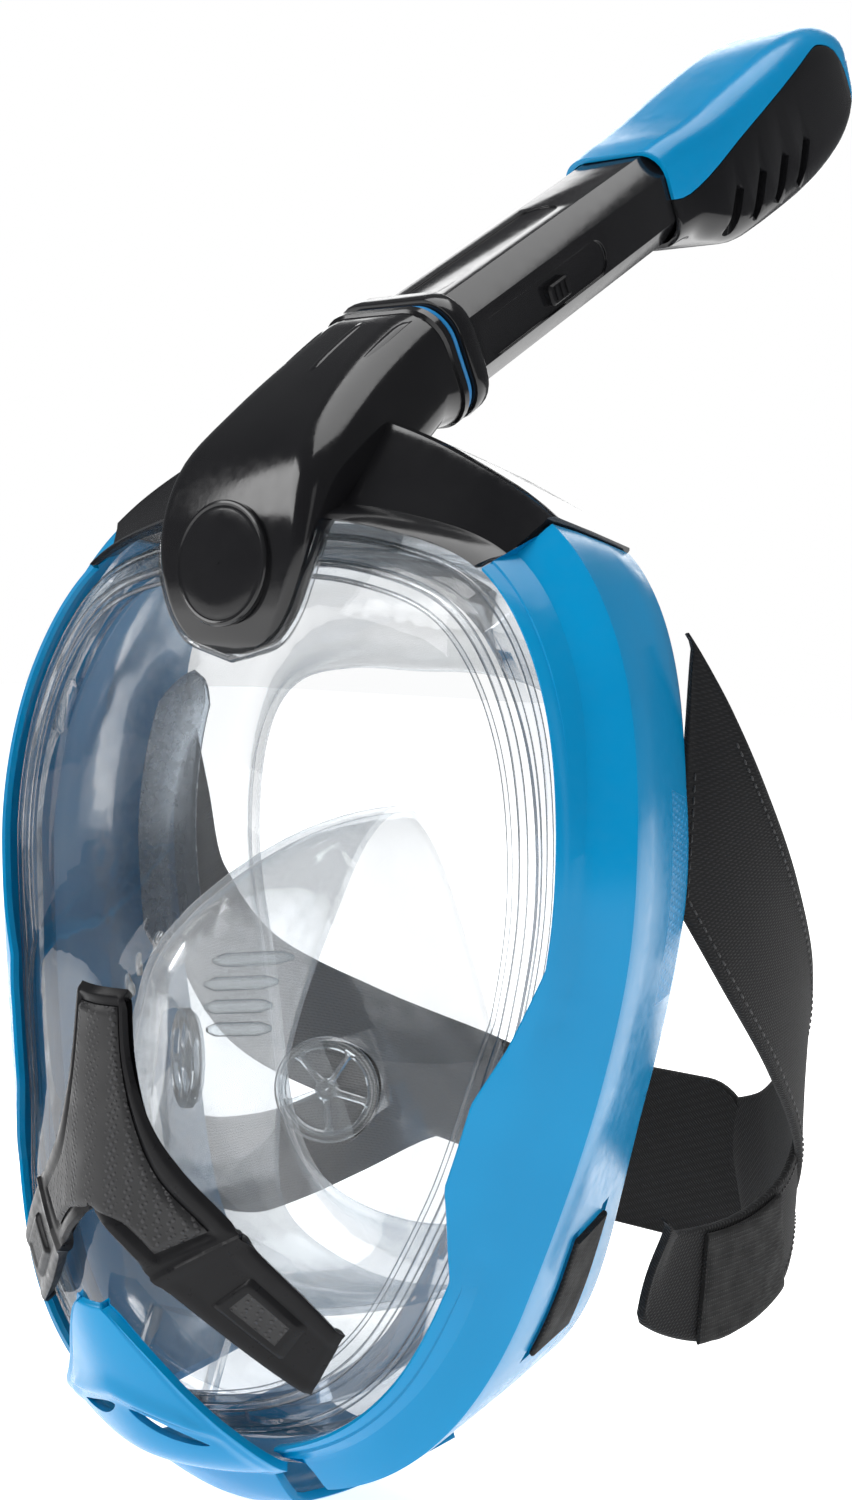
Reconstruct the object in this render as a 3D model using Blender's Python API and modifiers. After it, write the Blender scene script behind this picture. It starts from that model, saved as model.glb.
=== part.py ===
"""Full-face snorkel mask: a clear one-piece lens in a two-part frame, a silicone skirt with an
orinasal pocket and check valves, a plug-in snorkel with a float valve, and a strap harness.

+Z is up, the mask looks along -Y, and +X is the wearer's left. The origin is the middle of the
plane that the frame's rear edge lies in. Lengths below are millimetres; MM turns them into metres.
"""

import math

import bmesh
import bpy
from mathutils import Matrix, Vector

MM = 0.001
GAP = 0.3

# Outline of the frame's outer crease, seen from the front: right half, from top to chin.
OUTLINE = [(0, 114), (42, 111), (77, 98), (100, 66), (109, 22), (104, -26), (90, -74), (71, -112),
           (42, -133), (0, -140)]
CENTER_Z = -10
STEPS = 60

# The frame's section, as (inset from the outline, y).
REAR_Y = -4
CREASE_Y = -40
FLANGE_INSET = 13
FLANGE_Y = -50
FRAME_WALL = 2.6
FRAME_TOP_TURN = 0.107     # share of a turn from the top centre to the frame's joint with the crown
FRAME_CHIN_TURN = 0.452    # the same to its joint at the chin

# The lens.
LENS_INSET = 14.0
LENS_RIM_Y = -45.0
LENS_WALL = 2.4
WINDOW_Y = -67.0           # forehead window
SNOUT_REACH = 40.0         # how far the mouth stands out past the window

# Snorkel axis: it leaves the crown's socket leaning back.
SOCKET_MOUTH = (0.0, -10.6, 143.6)
LEAN = math.radians(58.5)
TUBE_WIDTH = 34.0
TUBE_DEPTH = 27.0
TUBE_WALL = 2.5
TUBE_INSERT = 18.0
HEAD_START = 116.0
TUBE_END = 177.0

# Valves.
INLET_RADIUS = 13.0
PURGE_RADIUS = 10.5
PURGE_PLACE = (0.0, -84.5, -116.5)
PURGE_AXIS = (0.0, -0.35, -0.94)

PARTS = "snorkel_mask"
parts = None
cutters = None


# ---------------------------------------------------------------- scene helpers

def clear_scene():
    for obj in list(bpy.context.scene.objects):
        bpy.data.objects.remove(obj, do_unlink=True)


def new_collection(name):
    collection = bpy.data.collections.new(name)
    bpy.context.scene.collection.children.link(collection)
    return collection


def material(name, color, roughness=0.4, alpha=1.0):
    mat = bpy.data.materials.get(name) or bpy.data.materials.new(name)
    mat.use_nodes = True
    shader = mat.node_tree.nodes["Principled BSDF"]
    shader.inputs["Base Color"].default_value = (*color, 1.0)
    shader.inputs["Roughness"].default_value = roughness
    shader.inputs["Metallic"].default_value = 0.0
    shader.inputs["Alpha"].default_value = alpha
    return mat


def blue():
    return material("gloss_blue_plastic", (0.0, 0.31, 0.72), 0.25)


def black():
    return material("gloss_black_plastic", (0.012, 0.012, 0.013), 0.2)


def clear():
    return material("clear_polycarbonate", (0.85, 0.9, 0.93), 0.05, 0.25)


def silicone():
    return material("clear_silicone", (0.75, 0.8, 0.84), 0.3, 0.5)


def rubber():
    return material("black_grip_rubber", (0.02, 0.02, 0.021), 0.6)


def fabric():
    return material("black_strap_fabric", (0.015, 0.015, 0.016), 0.9)


def add_object(name, bm, mat, smooth=True, collection=None):
    mesh = bpy.data.meshes.new(name)
    bmesh.ops.recalc_face_normals(bm, faces=bm.faces)
    if bm.calc_volume(signed=True) < 0:
        bmesh.ops.reverse_faces(bm, faces=bm.faces)
    bm.to_mesh(mesh)
    bm.free()
    obj = bpy.data.objects.new(name, mesh)
    (collection or parts).objects.link(obj)
    if mat:
        mesh.materials.append(mat)
    if smooth:
        mesh.shade_smooth()
        mesh.set_sharp_from_angle(angle=math.radians(35))
    return obj


def cutter(name, bm):
    obj = add_object(name, bm, None, smooth=False, collection=cutters)
    obj.hide_render = True
    obj.display_type = "WIRE"
    return obj


def boolean(obj, other, operation="DIFFERENCE"):
    """Applies a Boolean at once, so that later tools work on the result."""
    mod = obj.modifiers.new(other.name, "BOOLEAN")
    mod.object = other
    mod.operation = operation
    mod.solver = "EXACT"
    bake(obj)


def bake(obj):
    """Replaces the object's mesh with its evaluated mesh and drops the modifiers."""
    bpy.context.view_layer.update()
    depsgraph = bpy.context.evaluated_depsgraph_get()
    mesh = bpy.data.meshes.new_from_object(obj.evaluated_get(depsgraph))
    obj.modifiers.clear()
    old = obj.data
    obj.data = mesh
    bpy.data.meshes.remove(old)


def drop(obj):
    mesh = obj.data
    bpy.data.objects.remove(obj, do_unlink=True)
    bpy.data.meshes.remove(mesh)


def loft(rings, closed_ring=True, closed_path=False, caps=True):
    """A skin through rings of points in millimetres, as a bmesh in metres."""
    bm = bmesh.new()
    rows = [[bm.verts.new(Vector(p) * MM) for p in ring] for ring in rings]
    count = len(rings[0])
    spans = len(rows) if closed_path else len(rows) - 1
    for i in range(spans):
        a, b = rows[i], rows[(i + 1) % len(rows)]
        for j in range(count if closed_ring else count - 1):
            k = (j + 1) % count
            bm.faces.new((a[j], a[k], b[k], b[j]))
    if caps and closed_ring and not closed_path:
        bm.faces.new(rows[0])
        bm.faces.new(list(reversed(rows[-1])))
    return bm


def mirror_x(obj, name):
    """A mirrored copy on the wearer's other side."""
    bm = bmesh.new()
    bm.from_mesh(obj.data)
    bm.transform(Matrix.Scale(-1, 4, (1, 0, 0)) @ obj.matrix_world)
    bmesh.ops.reverse_faces(bm, faces=bm.faces)
    return add_object(name, bm, obj.data.materials[0])


# ---------------------------------------------------------------- shared curves

def catmull(points, t):
    """A point on a smooth curve through the points; t runs from 0 to 1."""
    n = len(points) - 1
    x = min(max(t, 0.0), 1.0) * n
    i = min(int(x), n - 1)
    f = x - i
    pick = lambda k: points[min(max(k, 0), n)]
    p0, p1, p2, p3 = pick(i - 1), pick(i), pick(i + 1), pick(i + 2)
    return tuple(
        0.5 * (2 * b + (c - a) * f + (2 * a - 5 * b + 4 * c - d) * f * f
               + (3 * b - a - 3 * c + d) * f ** 3)
        for a, b, c, d in zip(p0, p1, p2, p3))


def outline(turn):
    """The frame's outer crease at a share of a turn: 0 at the top, 0.25 about the left temple."""
    turn %= 1.0
    side = 1 if turn <= 0.5 else -1
    t = turn * 2 if turn <= 0.5 else (1 - turn) * 2
    full = [(-OUTLINE[1][0], OUTLINE[1][1])] + OUTLINE + [(-OUTLINE[-2][0], OUTLINE[-2][1])]
    n = len(OUTLINE) - 1
    x, z = catmull(full, (1 + t * n) / (n + 2))
    return side * x, z


def inset(turn, distance):
    """The outline moved in towards the middle."""
    x, z = outline(turn)
    dz = z - CENTER_Z
    reach = math.hypot(x, dz)
    share = 1 - distance / reach
    return x * share, CENTER_Z + dz * share


def smooth(a, b, x):
    t = min(max((x - a) / (b - a), 0.0), 1.0)
    return t * t * (3 - 2 * t)


def forward(z):
    """How far the frame's crease and the lens's rim come forward on the way down."""
    return 1 + 10 * smooth(114, 10, z) + 6 * smooth(10, -80, z) + 9 * smooth(-80, -140, z)


def snout(x, z):
    """How far the lens stands out past its window round the nose and mouth."""
    rise = smooth(42, -14, z) * (1 - 0.42 * smooth(-70, -130, z))
    half = 26 + 52 * smooth(36, -30, z)
    across = abs(x) / half
    crown = math.sqrt(across * across + 0.02) - math.sqrt(0.02)
    return SNOUT_REACH * rise * max(0.0, 1 - crown) ** 1.15


def lens_y(x, z, s):
    """The outer face of the lens; s is 0 in the middle and 1 at the rim."""
    squareness = 6 + 18 * smooth(-50, -112, z)
    edge = max(0.0, 1 - s ** squareness) ** 0.5
    rim = LENS_RIM_Y - forward(z)
    return rim + (WINDOW_Y - rim - snout(x, z)) * edge


# ---------------------------------------------------------------- lens and frame

def rim_table():
    """Polar angle and radius of the lens's rim, seen from the front."""
    table = []
    for k in range(0, 361):
        x, z = inset(k / 720, LENS_INSET)
        table.append((math.atan2(x, z - CENTER_Z), math.hypot(x, z - CENTER_Z)))
    return table


RIM = rim_table()


def share_at(x, z):
    """Where a point lies between the lens's middle, 0, and its rim, 1."""
    angle = math.atan2(abs(x), z - CENTER_Z)
    reach = min(RIM, key=lambda row: abs(row[0] - angle))[1]
    return math.hypot(x, z - CENTER_Z) / reach


def surface_y(x, z):
    return lens_y(x, z, min(share_at(x, z), 1.0))


LENS_SHARES = (1.0, 0.994, 0.98, 0.955, 0.91, 0.84, 0.74, 0.62, 0.5, 0.37, 0.22)


def lens_rings(shares):
    rings = []
    for s in shares:
        ring = []
        for k in range(STEPS):
            x, z = inset(k / STEPS, LENS_INSET)
            x, z = x * s, CENTER_Z + (z - CENTER_Z) * s
            ring.append((x, lens_y(x, z, s), z))
        rings.append(ring)
    return rings


def solidify(obj, thickness, offset=-1.0):
    mod = obj.modifiers.new("wall", "SOLIDIFY")
    mod.thickness = thickness * MM
    mod.offset = offset
    bake(obj)
    return obj


def make_lens():
    bm = loft(lens_rings(LENS_SHARES), caps=False)
    bm.verts.ensure_lookup_table()
    first = (len(LENS_SHARES) - 1) * STEPS
    bm.faces.new([bm.verts[first + k] for k in range(STEPS)])
    bmesh.ops.recalc_face_normals(bm, faces=bm.faces)
    lens = solidify(add_object("lens", bm, clear()), LENS_WALL)
    port = turned("lens_port", PURGE_RADIUS + 0.6, 30, PURGE_PLACE, PURGE_AXIS)
    boolean(lens, port)
    return lens


def ramp(a, b, x):
    return min(max((x - a) / (b - a), 0.0), 1.0)


def rear_inset(turn):
    """The rear edge tucks in most beside the temples."""
    turn = min(turn % 1, 1 - turn % 1)
    return 6 + 11 * smooth(0.1, 0.2, turn) * (1 - 0.5 * smooth(0.3, 0.4, turn))


def frame_section(turn, lift=0.0):
    """The frame's closed section: rear edge, crease and front flange with the cheek wing."""
    wing = ramp(0.248, 0.292, turn) * (1 - ramp(0.32, 0.345, turn))
    w = FRAME_WALL
    lean = forward(outline(turn)[1])
    outer, inner = [], []
    for flat, wide in ((8, 10), (10, 12.6), (11.5, 14.8), (13, 18), (14, 22)):
        d = flat + (wide - flat) * wing
        y = CREASE_Y + (FLANGE_Y - CREASE_Y) * min(d / FLANGE_INSET, 1.0)
        if d + 3.5 > LENS_INSET:
            y = min(y, *(lens_face(turn, d + step) + lean - w - 1.0 for step in (0, 1.5, 3)))
        outer.append((d, y - lift))
        inner.append((d, y + w * 0.85 - lift * 0.2))
    tuck = rear_inset(turn)
    rear = (tuck - lift, REAR_Y)
    return ([rear, (-lift, CREASE_Y)] + outer + inner[::-1]
            + [(w + 1.4, CREASE_Y + 1.6), (tuck + w, REAR_Y)])


def lens_face(turn, distance):
    """The lens's outer face at a distance in from the outline; its rim when outside it."""
    x, z = inset(turn, distance)
    return surface_y(x, z)


def at(turn, distance, y):
    """A point on the ring; y is for the crown's end of it, and leans forward with the crease."""
    x, z = inset(turn, distance)
    share = min(max((REAR_Y - y) / (REAR_Y - CREASE_Y), 0.0), 1.0)
    return x, y - forward(outline(turn)[1]) * share, z


def band(start, end, count, lift=lambda turn: 0.0):
    rings = []
    for k in range(count + 1):
        turn = start + (end - start) * k / count
        rings.append([at(turn, d, y) for d, y in frame_section(turn, lift(turn))])
    return loft(rings)


def make_frame():
    left = add_object("frame_left", band(FRAME_TOP_TURN, FRAME_CHIN_TURN, 32), blue())
    for name, (front, rear) in (("slot_front", SLOT_FRONT_Y), ("slot_rear", SLOT_REAR_Y)):
        boolean(left, side_strip(name, (-6, 8), front, rear, SLOT_TURNS))
    mirror_x(left, "frame_right")


# ---------------------------------------------------------------- turned and boxed shapes

def placed(direction, place, spin=0.0):
    """A matrix that turns +Z to the direction and moves to the place, in millimetres."""
    turn = Vector((0, 0, 1)).rotation_difference(Vector(direction).normalized())
    return (Matrix.Translation(Vector(place) * MM) @ turn.to_matrix().to_4x4()
            @ Matrix.Rotation(spin, 4, "Z"))


def disc_mesh(radius, height, segments=32):
    bm = bmesh.new()
    bmesh.ops.create_cone(bm, cap_ends=True, segments=segments, radius1=radius * MM,
                          radius2=radius * MM, depth=height * MM)
    return bm


def turned(name, radius, height, place, direction, segments=32):
    bm = disc_mesh(radius, height, segments)
    bm.transform(placed(direction, place))
    return cutter(name, bm)


def box_mesh(size, place, direction=(0, 0, 1), spin=0.0):
    bm = bmesh.new()
    bmesh.ops.create_cube(bm, size=1.0)
    bm.transform(placed(direction, place, spin) @ Matrix.Diagonal((*(s * MM for s in size), 1)))
    return bm


def box_cutter(name, size, place, direction=(0, 0, 1), spin=0.0):
    return cutter(name, box_mesh(size, place, direction, spin))


def rounded(half_w, half_d, radius, corner=4):
    """A rounded rectangle as points, counter-clockwise."""
    radius = min(radius, half_w - 0.01, half_d - 0.01)
    points = []
    for quarter, (sx, sy) in enumerate(((1, 1), (-1, 1), (-1, -1), (1, -1))):
        for k in range(corner + 1):
            a = math.radians(90 * (quarter + k / corner))
            points.append((sx * (half_w - radius) + radius * math.cos(a),
                           sy * (half_d - radius) + radius * math.sin(a)))
    return points


# ---------------------------------------------------------------- crown and snorkel

AXIS = Vector((0, math.sin(LEAN), math.cos(LEAN)))
NORMAL = Vector((0, -math.cos(LEAN), math.sin(LEAN)))


def along(w, across=0.0, out=0.0):
    """A point in the snorkel's own frame: along its axis, across it (+X), and out of its top."""
    return Vector(SOCKET_MOUTH) + AXIS * w + Vector((across, 0, 0)) + NORMAL * out


def tube_rings(sections, corner=4):
    """Sections as (along, middle out, half width, half depth, corner radius)."""
    return [[along(w, x, mid + y) for x, y in rounded(hw, hd, r, corner)]
            for w, mid, hw, hd, r in sections]


ARM_RISE = 16.0            # how far the arms climb towards the socket
DUCT_ENDS = ((-44, 104), (-20, 132))   # y, z of the air duct from the mask into the socket
CROWN_SECTIONS = [  # y, z, tilt in degrees, half width, half thickness
    (-70.0, 67.5, 0, 9.0, 1.8), (-70.4, 70.0, 0, 15.0, 2.6), (-70.6, 77.0, 0, 20.5, 3.6),
    (-70.0, 88.0, 0, 24.5, 4.4), (-67.0, 99.0, 12, 26.0, 6.6), (-60.0, 109.5, 28, 25.5, 10.0),
    (-46.5, 118.5, 45, 24.0, 14.0), (-31.5, 129.3, 55, 22.0, 16.2), (-19.0, 139.4, 58.5, 21.0, 15.8)]


def make_crown():
    """The top of the frame with the snorkel's socket on it."""
    end = FRAME_TOP_TURN - 0.0009
    web = band(-end, end, 26, lambda turn: 1.2 + ARM_RISE * (1 - abs(turn) / end) ** 1.4)
    arms = add_object("crown", web, black())
    rings = []
    for y, z, tilt, hw, ht in CROWN_SECTIONS:
        a = math.radians(tilt)
        rings.append([(px, y - py * math.cos(a), z + py * math.sin(a))
                      for px, py in rounded(hw, ht, min(ht * 0.8, 13), 5)])
    rings.append([along(-0.8, x, y) for x, y in rounded(20.8, 16.4, 11, 5)])
    body = add_object("crown_body", loft(rings), None)
    boolean(arms, body, "UNION")
    drop(body)
    bore = cutter("socket_bore", loft(tube_rings([(-21, 0, 15.4, 12.1, 8), (4, 0, 15.4, 12.1, 8)])))
    boolean(arms, bore)
    rings = [[(x, y, z + e) for x, e in rounded(11, 6, 4)] for y, z in DUCT_ENDS]
    boolean(arms, cutter("crown_duct", loft(rings)))
    return arms


def make_crown_disc():
    bm = disc_mesh(15.5, 1.4, 40)
    bm.transform(placed((0, -1, 0.04), (0, -76.4, 88)))
    return add_object("crown_disc", bm, black())


def make_gasket():
    ring = add_object("socket_gasket", loft(tube_rings([(-0.4, 0, 20.2, 15.8, 11),
                                                        (1.4, 0, 20.2, 15.8, 11)])), blue())
    hole = cutter("gasket_hole", loft(tube_rings([(-3, 0, 15.4, 12.1, 8), (4, 0, 15.4, 12.1, 8)])))
    boolean(ring, hole)
    return ring


def make_tube():
    """The snorkel's barrel with its socket spigot, flange, two airways and a latch pocket."""
    hw, hd = TUBE_WIDTH / 2, TUBE_DEPTH / 2
    sections = [(-TUBE_INSERT, 0, 15, 11.7, 7.6), (1.7, 0, 15, 11.7, 7.6),
                (1.75, 0, 21.6, 17.2, 11), (8.0, 0, 21.2, 16.8, 11), (8.05, 0, hw, hd, 8),
                (TUBE_END, 0, hw, hd, 8)]
    tube = add_object("snorkel_tube", loft(tube_rings(sections)), black())
    w = TUBE_WALL
    for name, side in (("airway_left", 1), ("airway_right", -1)):
        rings = []
        for place, half, deep in ((-TUBE_INSERT - 1, 11, 8.8), (TUBE_END + 1, 11, 8.8)):
            rings.append([along(place, side * (half / 2 + w / 2) + x, y)
                          for x, y in rounded(half / 2, deep, 5)])
        boolean(tube, cutter(name, loft(rings)))
    pocket = box_cutter("latch_pocket", (5, 7.4, 12.6), along(52, hw - 0.5, -2), AXIS)
    boolean(tube, pocket)
    return tube


def make_latch():
    bm = box_mesh((3.2, 6.6, 11.6), along(52, TUBE_WIDTH / 2 - 0.2, -2), AXIS)
    return add_object("snorkel_latch", bm, black(), smooth=False)


HEAD_SECTIONS = [  # along, middle out, half width, half depth, corner radius
    (HEAD_START, 0, 18.4, 15.0, 8), (126, -0.3, 19.2, 15.8, 8), (136, -3, 20.5, 18.5, 9),
    (148, -5, 21.5, 21, 10), (172, -4.5, 22.5, 22.5, 11), (197, -3.5, 23, 23, 12),
    (217, -2.5, 22, 21, 12), (231, -1.5, 19, 17, 11), (240, -0.5, 14, 11, 8), (245, 0, 8, 6, 5)]


def head_form():
    return loft(tube_rings(HEAD_SECTIONS, 5))


def split_cutter(name, outline_points):
    """A prism across the head, from points as (along, out)."""
    rings = [[along(w, x, n) for w, n in outline_points] for x in (-45, 45)]
    return cutter(name, loft(rings))


CAP_EDGE = [(108, 3.5), (124, -2), (158, 5), (203, 13), (216, 12.5), (224, 6), (229, -6), (231, -40),
            (260, -40), (260, 40), (108, 40)]


LOUVRE_START = 175.0
LOUVRE_PITCH = 15.0


def shifted_edge(distance):
    """The cap's edge moved away from the cap."""
    return [(w - distance * (w > 157), n - distance) for w, n in CAP_EDGE[:8]] + CAP_EDGE[8:]


def make_head():
    bore = cutter("head_bore", loft(tube_rings([
        (HEAD_START - 5, 0, TUBE_WIDTH / 2 + GAP, TUBE_DEPTH / 2 + GAP, 8),
        (TUBE_END + 2, 0, TUBE_WIDTH / 2 + GAP, TUBE_DEPTH / 2 + GAP, 8)])))
    chamber = cutter("head_chamber", loft(tube_rings([
        (TUBE_END + 1, -4, 18.5, 19, 9), (213, -2.5, 18.5, 18, 9), (231, -1.5, 14, 12.5, 8)])))
    housing = add_object("head_housing", head_form(), black())
    boolean(housing, bore)
    boolean(housing, chamber)
    boolean(housing, split_cutter("cap_space", shifted_edge(GAP)))
    for k in range(4):
        for side in (1, -1):
            slot = box_cutter(f"louvre_{k}_{side}", (16, 4.2, 15),
                              along(LOUVRE_START + LOUVRE_PITCH * k, side * 24, -22), AXIS, 0)
            tilt = Matrix.Translation(along(LOUVRE_START + LOUVRE_PITCH * k, 0, -22) * MM)
            slot.data.transform(tilt @ Matrix.Rotation(math.radians(-38), 4, "X") @ tilt.inverted())
            boolean(housing, slot)
    cap = add_object("head_cap", head_form(), blue())
    boolean(cap, bore)
    boolean(cap, chamber)
    mod = cap.modifiers.new("cap_side", "BOOLEAN")
    mod.object = split_cutter("cap_keep", CAP_EDGE)
    mod.operation = "INTERSECT"
    bake(cap)


def make_float():
    block = [(185, -3.5, 12, 11.5, 5), (203, -3.5, 12, 11.5, 5)]
    add_object("float", loft(tube_rings(block)), black())
    pad = [(203.4, -3.5, 10.5, 10, 5), (205.4, -3.5, 10.5, 10, 5)]
    add_object("float_seal", loft(tube_rings(pad)), silicone())
    plate = [(220.5, -2.2, 15.0, 13.2, 7), (222.5, -2.2, 14.6, 12.8, 7)]
    seat = add_object("float_seat", loft(tube_rings(plate)), black())
    hole = [(218, -3, 7.5, 6.5, 5), (226, -3, 7.5, 6.5, 5)]
    boolean(seat, cutter("seat_bore", loft(tube_rings(hole))))


# ---------------------------------------------------------------- trim and chin cap

TRIM_INNER = [(0, -12), (0, -30), (0, -48), (0, -63), (10, -73), (23, -85), (36, -96), (47, -104)]
TRIM_OUTER = [(8, -12), (10, -29), (15, -43), (22, -53), (31, -62), (40, -71), (49, -80), (56, -88)]


def patch(rows, lift):
    """A sheet lying off the lens's outer face, from rows of (x, z)."""
    sheet = [[(x, surface_y(x, z) - lift, z) for x, z in row] for row in rows]
    return loft(sheet, closed_ring=False, caps=False)


def strip_rows(inner, outer, first=0.0, last=1.0, edge=0.0, count=15, across=4):
    rows = []
    for k in range(count + 1):
        t = first + (last - first) * k / count
        a, b = catmull(inner, t), catmull(outer, t)
        rows.append([tuple(p + (q - p) * (edge + (1 - 2 * edge) * j / across) for p, q in zip(a, b))
                     for j in range(across + 1)])
    return rows


def make_trim():
    rows = strip_rows(TRIM_INNER, TRIM_OUTER)
    full = add_object("front_trim", patch(rows, 3.0), black())
    mod = full.modifiers.new("other_side", "MIRROR")
    mod.merge_threshold = 0.00005
    bake(full)
    return solidify(full, 2.4, 1.0)


def make_pad(name, first, last, side):
    """A textured grip laid into the trim's face."""
    rows = [[(side * x, z) for x, z in row]
            for row in strip_rows(TRIM_INNER, TRIM_OUTER, first, last, 0.2, 5, 3)]
    return solidify(add_object(name, patch(rows, 6.0), rubber()), 1.0, 1.0)


def make_inlay():
    """The big textured grip on the trim's stem, forked on to both branches."""
    rows = strip_rows(TRIM_INNER, TRIM_OUTER, 0.03, 0.62, 0.0, 9, 3)
    rows = [[(x if k == 0 and row[0][0] < 0.01 else row[0][0] + (x - row[0][0]) * 0.7 + 0.6, z)
             for k, (x, z) in enumerate(row)] for row in rows]
    inlay = add_object("trim_inlay", patch(rows, 6.0), rubber())
    mod = inlay.modifiers.new("other_side", "MIRROR")
    mod.merge_threshold = 0.00005
    bake(inlay)
    return solidify(inlay, 1.0, 1.0)


CAP_ROWS = [  # share of the way from the lens's middle to its rim, half width
    (0.60, 3.5), (0.63, 7.5), (0.68, 12), (0.74, 17), (0.80, 22), (0.86, 28), (0.91, 34), (0.945, 38),
    (0.965, 40), (0.98, 41), (0.99, 41.5)]


CAP_TURN_PER_RADIAN = 0.178  # how fast the cap's rows swing round the outline
CAP_LIFT = 4.4
CAP_DROP = 7.0
CAP_UNDER = ((8, -48.5), (1.5, -44.5), (-5, -38), (-9, -29), (-8, -17), (-4, -6))  # (inset, y)
CAP_UNDER_TURN = 0.036


def cap_rows():
    rows = []
    for s, half in CAP_ROWS:
        row = []
        for j in range(15):
            x = half * (2 * j / 14 - 1)
            turn = 0.5 - math.atan2(x, (CENTER_Z - OUTLINE[-1][1]) * s) * CAP_TURN_PER_RADIAN
            px, pz = inset(turn, LENS_INSET)
            px, pz = px * s, CENTER_Z + (pz - CENTER_Z) * s
            row.append((px, surface_y(px, pz) - CAP_LIFT, pz - CAP_DROP))
        rows.append(row)
    for distance, y in CAP_UNDER:
        row = []
        for j in range(15):
            u = 2 * j / 14 - 1
            row.append(at(0.5 - u * CAP_UNDER_TURN, distance * (1 - 0.7 * u * u * (distance < 0)), y))
        rows.append(row)
    return rows


def make_chin_cap():
    """The purge valve's cover: a hood over the chin, vented at its lower corners."""
    bm = loft(cap_rows(), closed_ring=False, caps=False)
    cap = add_object("chin_cap", bm, blue())
    solidify(cap, 2.2, 1.0)
    for side in (1, -1):
        vent = box_cutter(f"cap_vent_{side}", (13, 2.6, 20), (side * 15, -93, -122),
                          (side * 0.35, -1, -0.9))
        boolean(cap, vent)
    return cap


# ---------------------------------------------------------------- skirt and orinasal pocket

SKIRT_SECTION = [  # (inset, y), round the closed section
    (6.6, -40.7), (20, -41.2), (20, -39.2), (22.5, -36), (22.5, -10), (26, 3), (32, 9), (41, 8.5),
    (50, -1), (51.5, 0.6), (42, 10.9), (31, 11.4), (24, 4.6), (20.5, -8), (20.5, -34), (17, -38.6),
    (6.2, -38.6)]


def make_skirt():
    rings = [[at(k / STEPS, d, y) for d, y in SKIRT_SECTION] for k in range(STEPS)]
    return add_object("face_skirt", loft(rings, closed_path=True), silicone())


POCKET = [(0, 26), (13, 17), (25, -6), (38, -38), (44, -68), (38, -96), (0, -106)]
POCKET_CENTER_Z = -50
POCKET_RIM_Y = -4.0
POCKET_BACK = 15.0         # how far the pocket stays behind the lens
POCKET_WALL = 1.8
POCKET_STEPS = 36
POCKET_SHARES = (1.0, 0.985, 0.95, 0.89, 0.79, 0.65, 0.49, 0.32, 0.14)


def pocket_outline(turn):
    side = 1 if turn <= 0.5 else -1
    t = turn * 2 if turn <= 0.5 else (1 - turn) * 2
    full = [(-POCKET[1][0], POCKET[1][1])] + POCKET + [(-POCKET[-2][0], POCKET[-2][1])]
    n = len(POCKET) - 1
    x, z = catmull(full, (1 + t * n) / (n + 2))
    return side * x, z


def pocket_y(x, z, s):
    edge = max(0.0, 1 - s ** 7) ** 0.5
    front = WINDOW_Y + POCKET_BACK - snout(x, z)
    return POCKET_RIM_Y + (front - POCKET_RIM_Y) * edge


def make_pocket():
    rings = []
    for s in POCKET_SHARES:
        ring = []
        for k in range(POCKET_STEPS):
            x, z = pocket_outline(k / POCKET_STEPS)
            x, z = x * s, POCKET_CENTER_Z + (z - POCKET_CENTER_Z) * s
            ring.append((x, pocket_y(x, z, s), z))
        rings.append(ring)
    bm = loft(rings, caps=False)
    bm.verts.ensure_lookup_table()
    first = (len(POCKET_SHARES) - 1) * POCKET_STEPS
    bm.faces.new([bm.verts[first + k] for k in range(POCKET_STEPS)])
    pocket = solidify(add_object("orinasal_pocket", bm, silicone()), POCKET_WALL)
    for side in (1, -1):
        boolean(pocket, turned(f"inlet_hole_{side}", INLET_RADIUS + GAP, 14, *inlet_place(side)))
    boolean(pocket, turned("purge_duct", 9.0, 40, PURGE_PLACE, PURGE_AXIS))
    return pocket


# ---------------------------------------------------------------- valves

def inlet_place(side):
    """Middle and facing direction of an inlet valve on the pocket's cheek."""
    place = (side * 25.0, -58.5, -40.0)
    return place, (side * 0.5, -0.866, 0.0)


def spoked_seat(name, radius, place, direction, spokes=5, height=2.4):
    """A valve seat: a ring, a hub and spokes in one piece."""
    ring = add_object(name, disc_mesh(radius, height, 40), clear())
    bore = cutter(f"{name}_bore", disc_mesh(radius - 2.4, height + 2, 40))
    boolean(ring, bore)
    hub = add_object(f"{name}_hub", disc_mesh(2.6, height, 20), None)
    boolean(ring, hub, "UNION")
    drop(hub)
    for k in range(spokes):
        bm = bmesh.new()
        bmesh.ops.create_cube(bm, size=1.0)
        length = radius - 2.8
        bm.transform(Matrix.Rotation(math.tau * k / spokes, 4, "Z")
                     @ Matrix.Translation((MM * (0.7 + length / 2), 0, 0))
                     @ Matrix.Diagonal((length * MM, 1.5 * MM, (height - 0.5) * MM, 1)))
        spoke = add_object(f"{name}_spoke", bm, None)
        boolean(ring, spoke, "UNION")
        drop(spoke)
    matrix = placed(direction, place)
    bore.data.transform(matrix)
    ring.data.transform(matrix)


def membrane(name, radius, offset, place, direction, thickness=0.8):
    bm = disc_mesh(radius, thickness, 36)
    shift = Vector(place) + Vector(direction).normalized() * offset
    bm.transform(placed(direction, shift))
    return add_object(name, bm, silicone())


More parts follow.
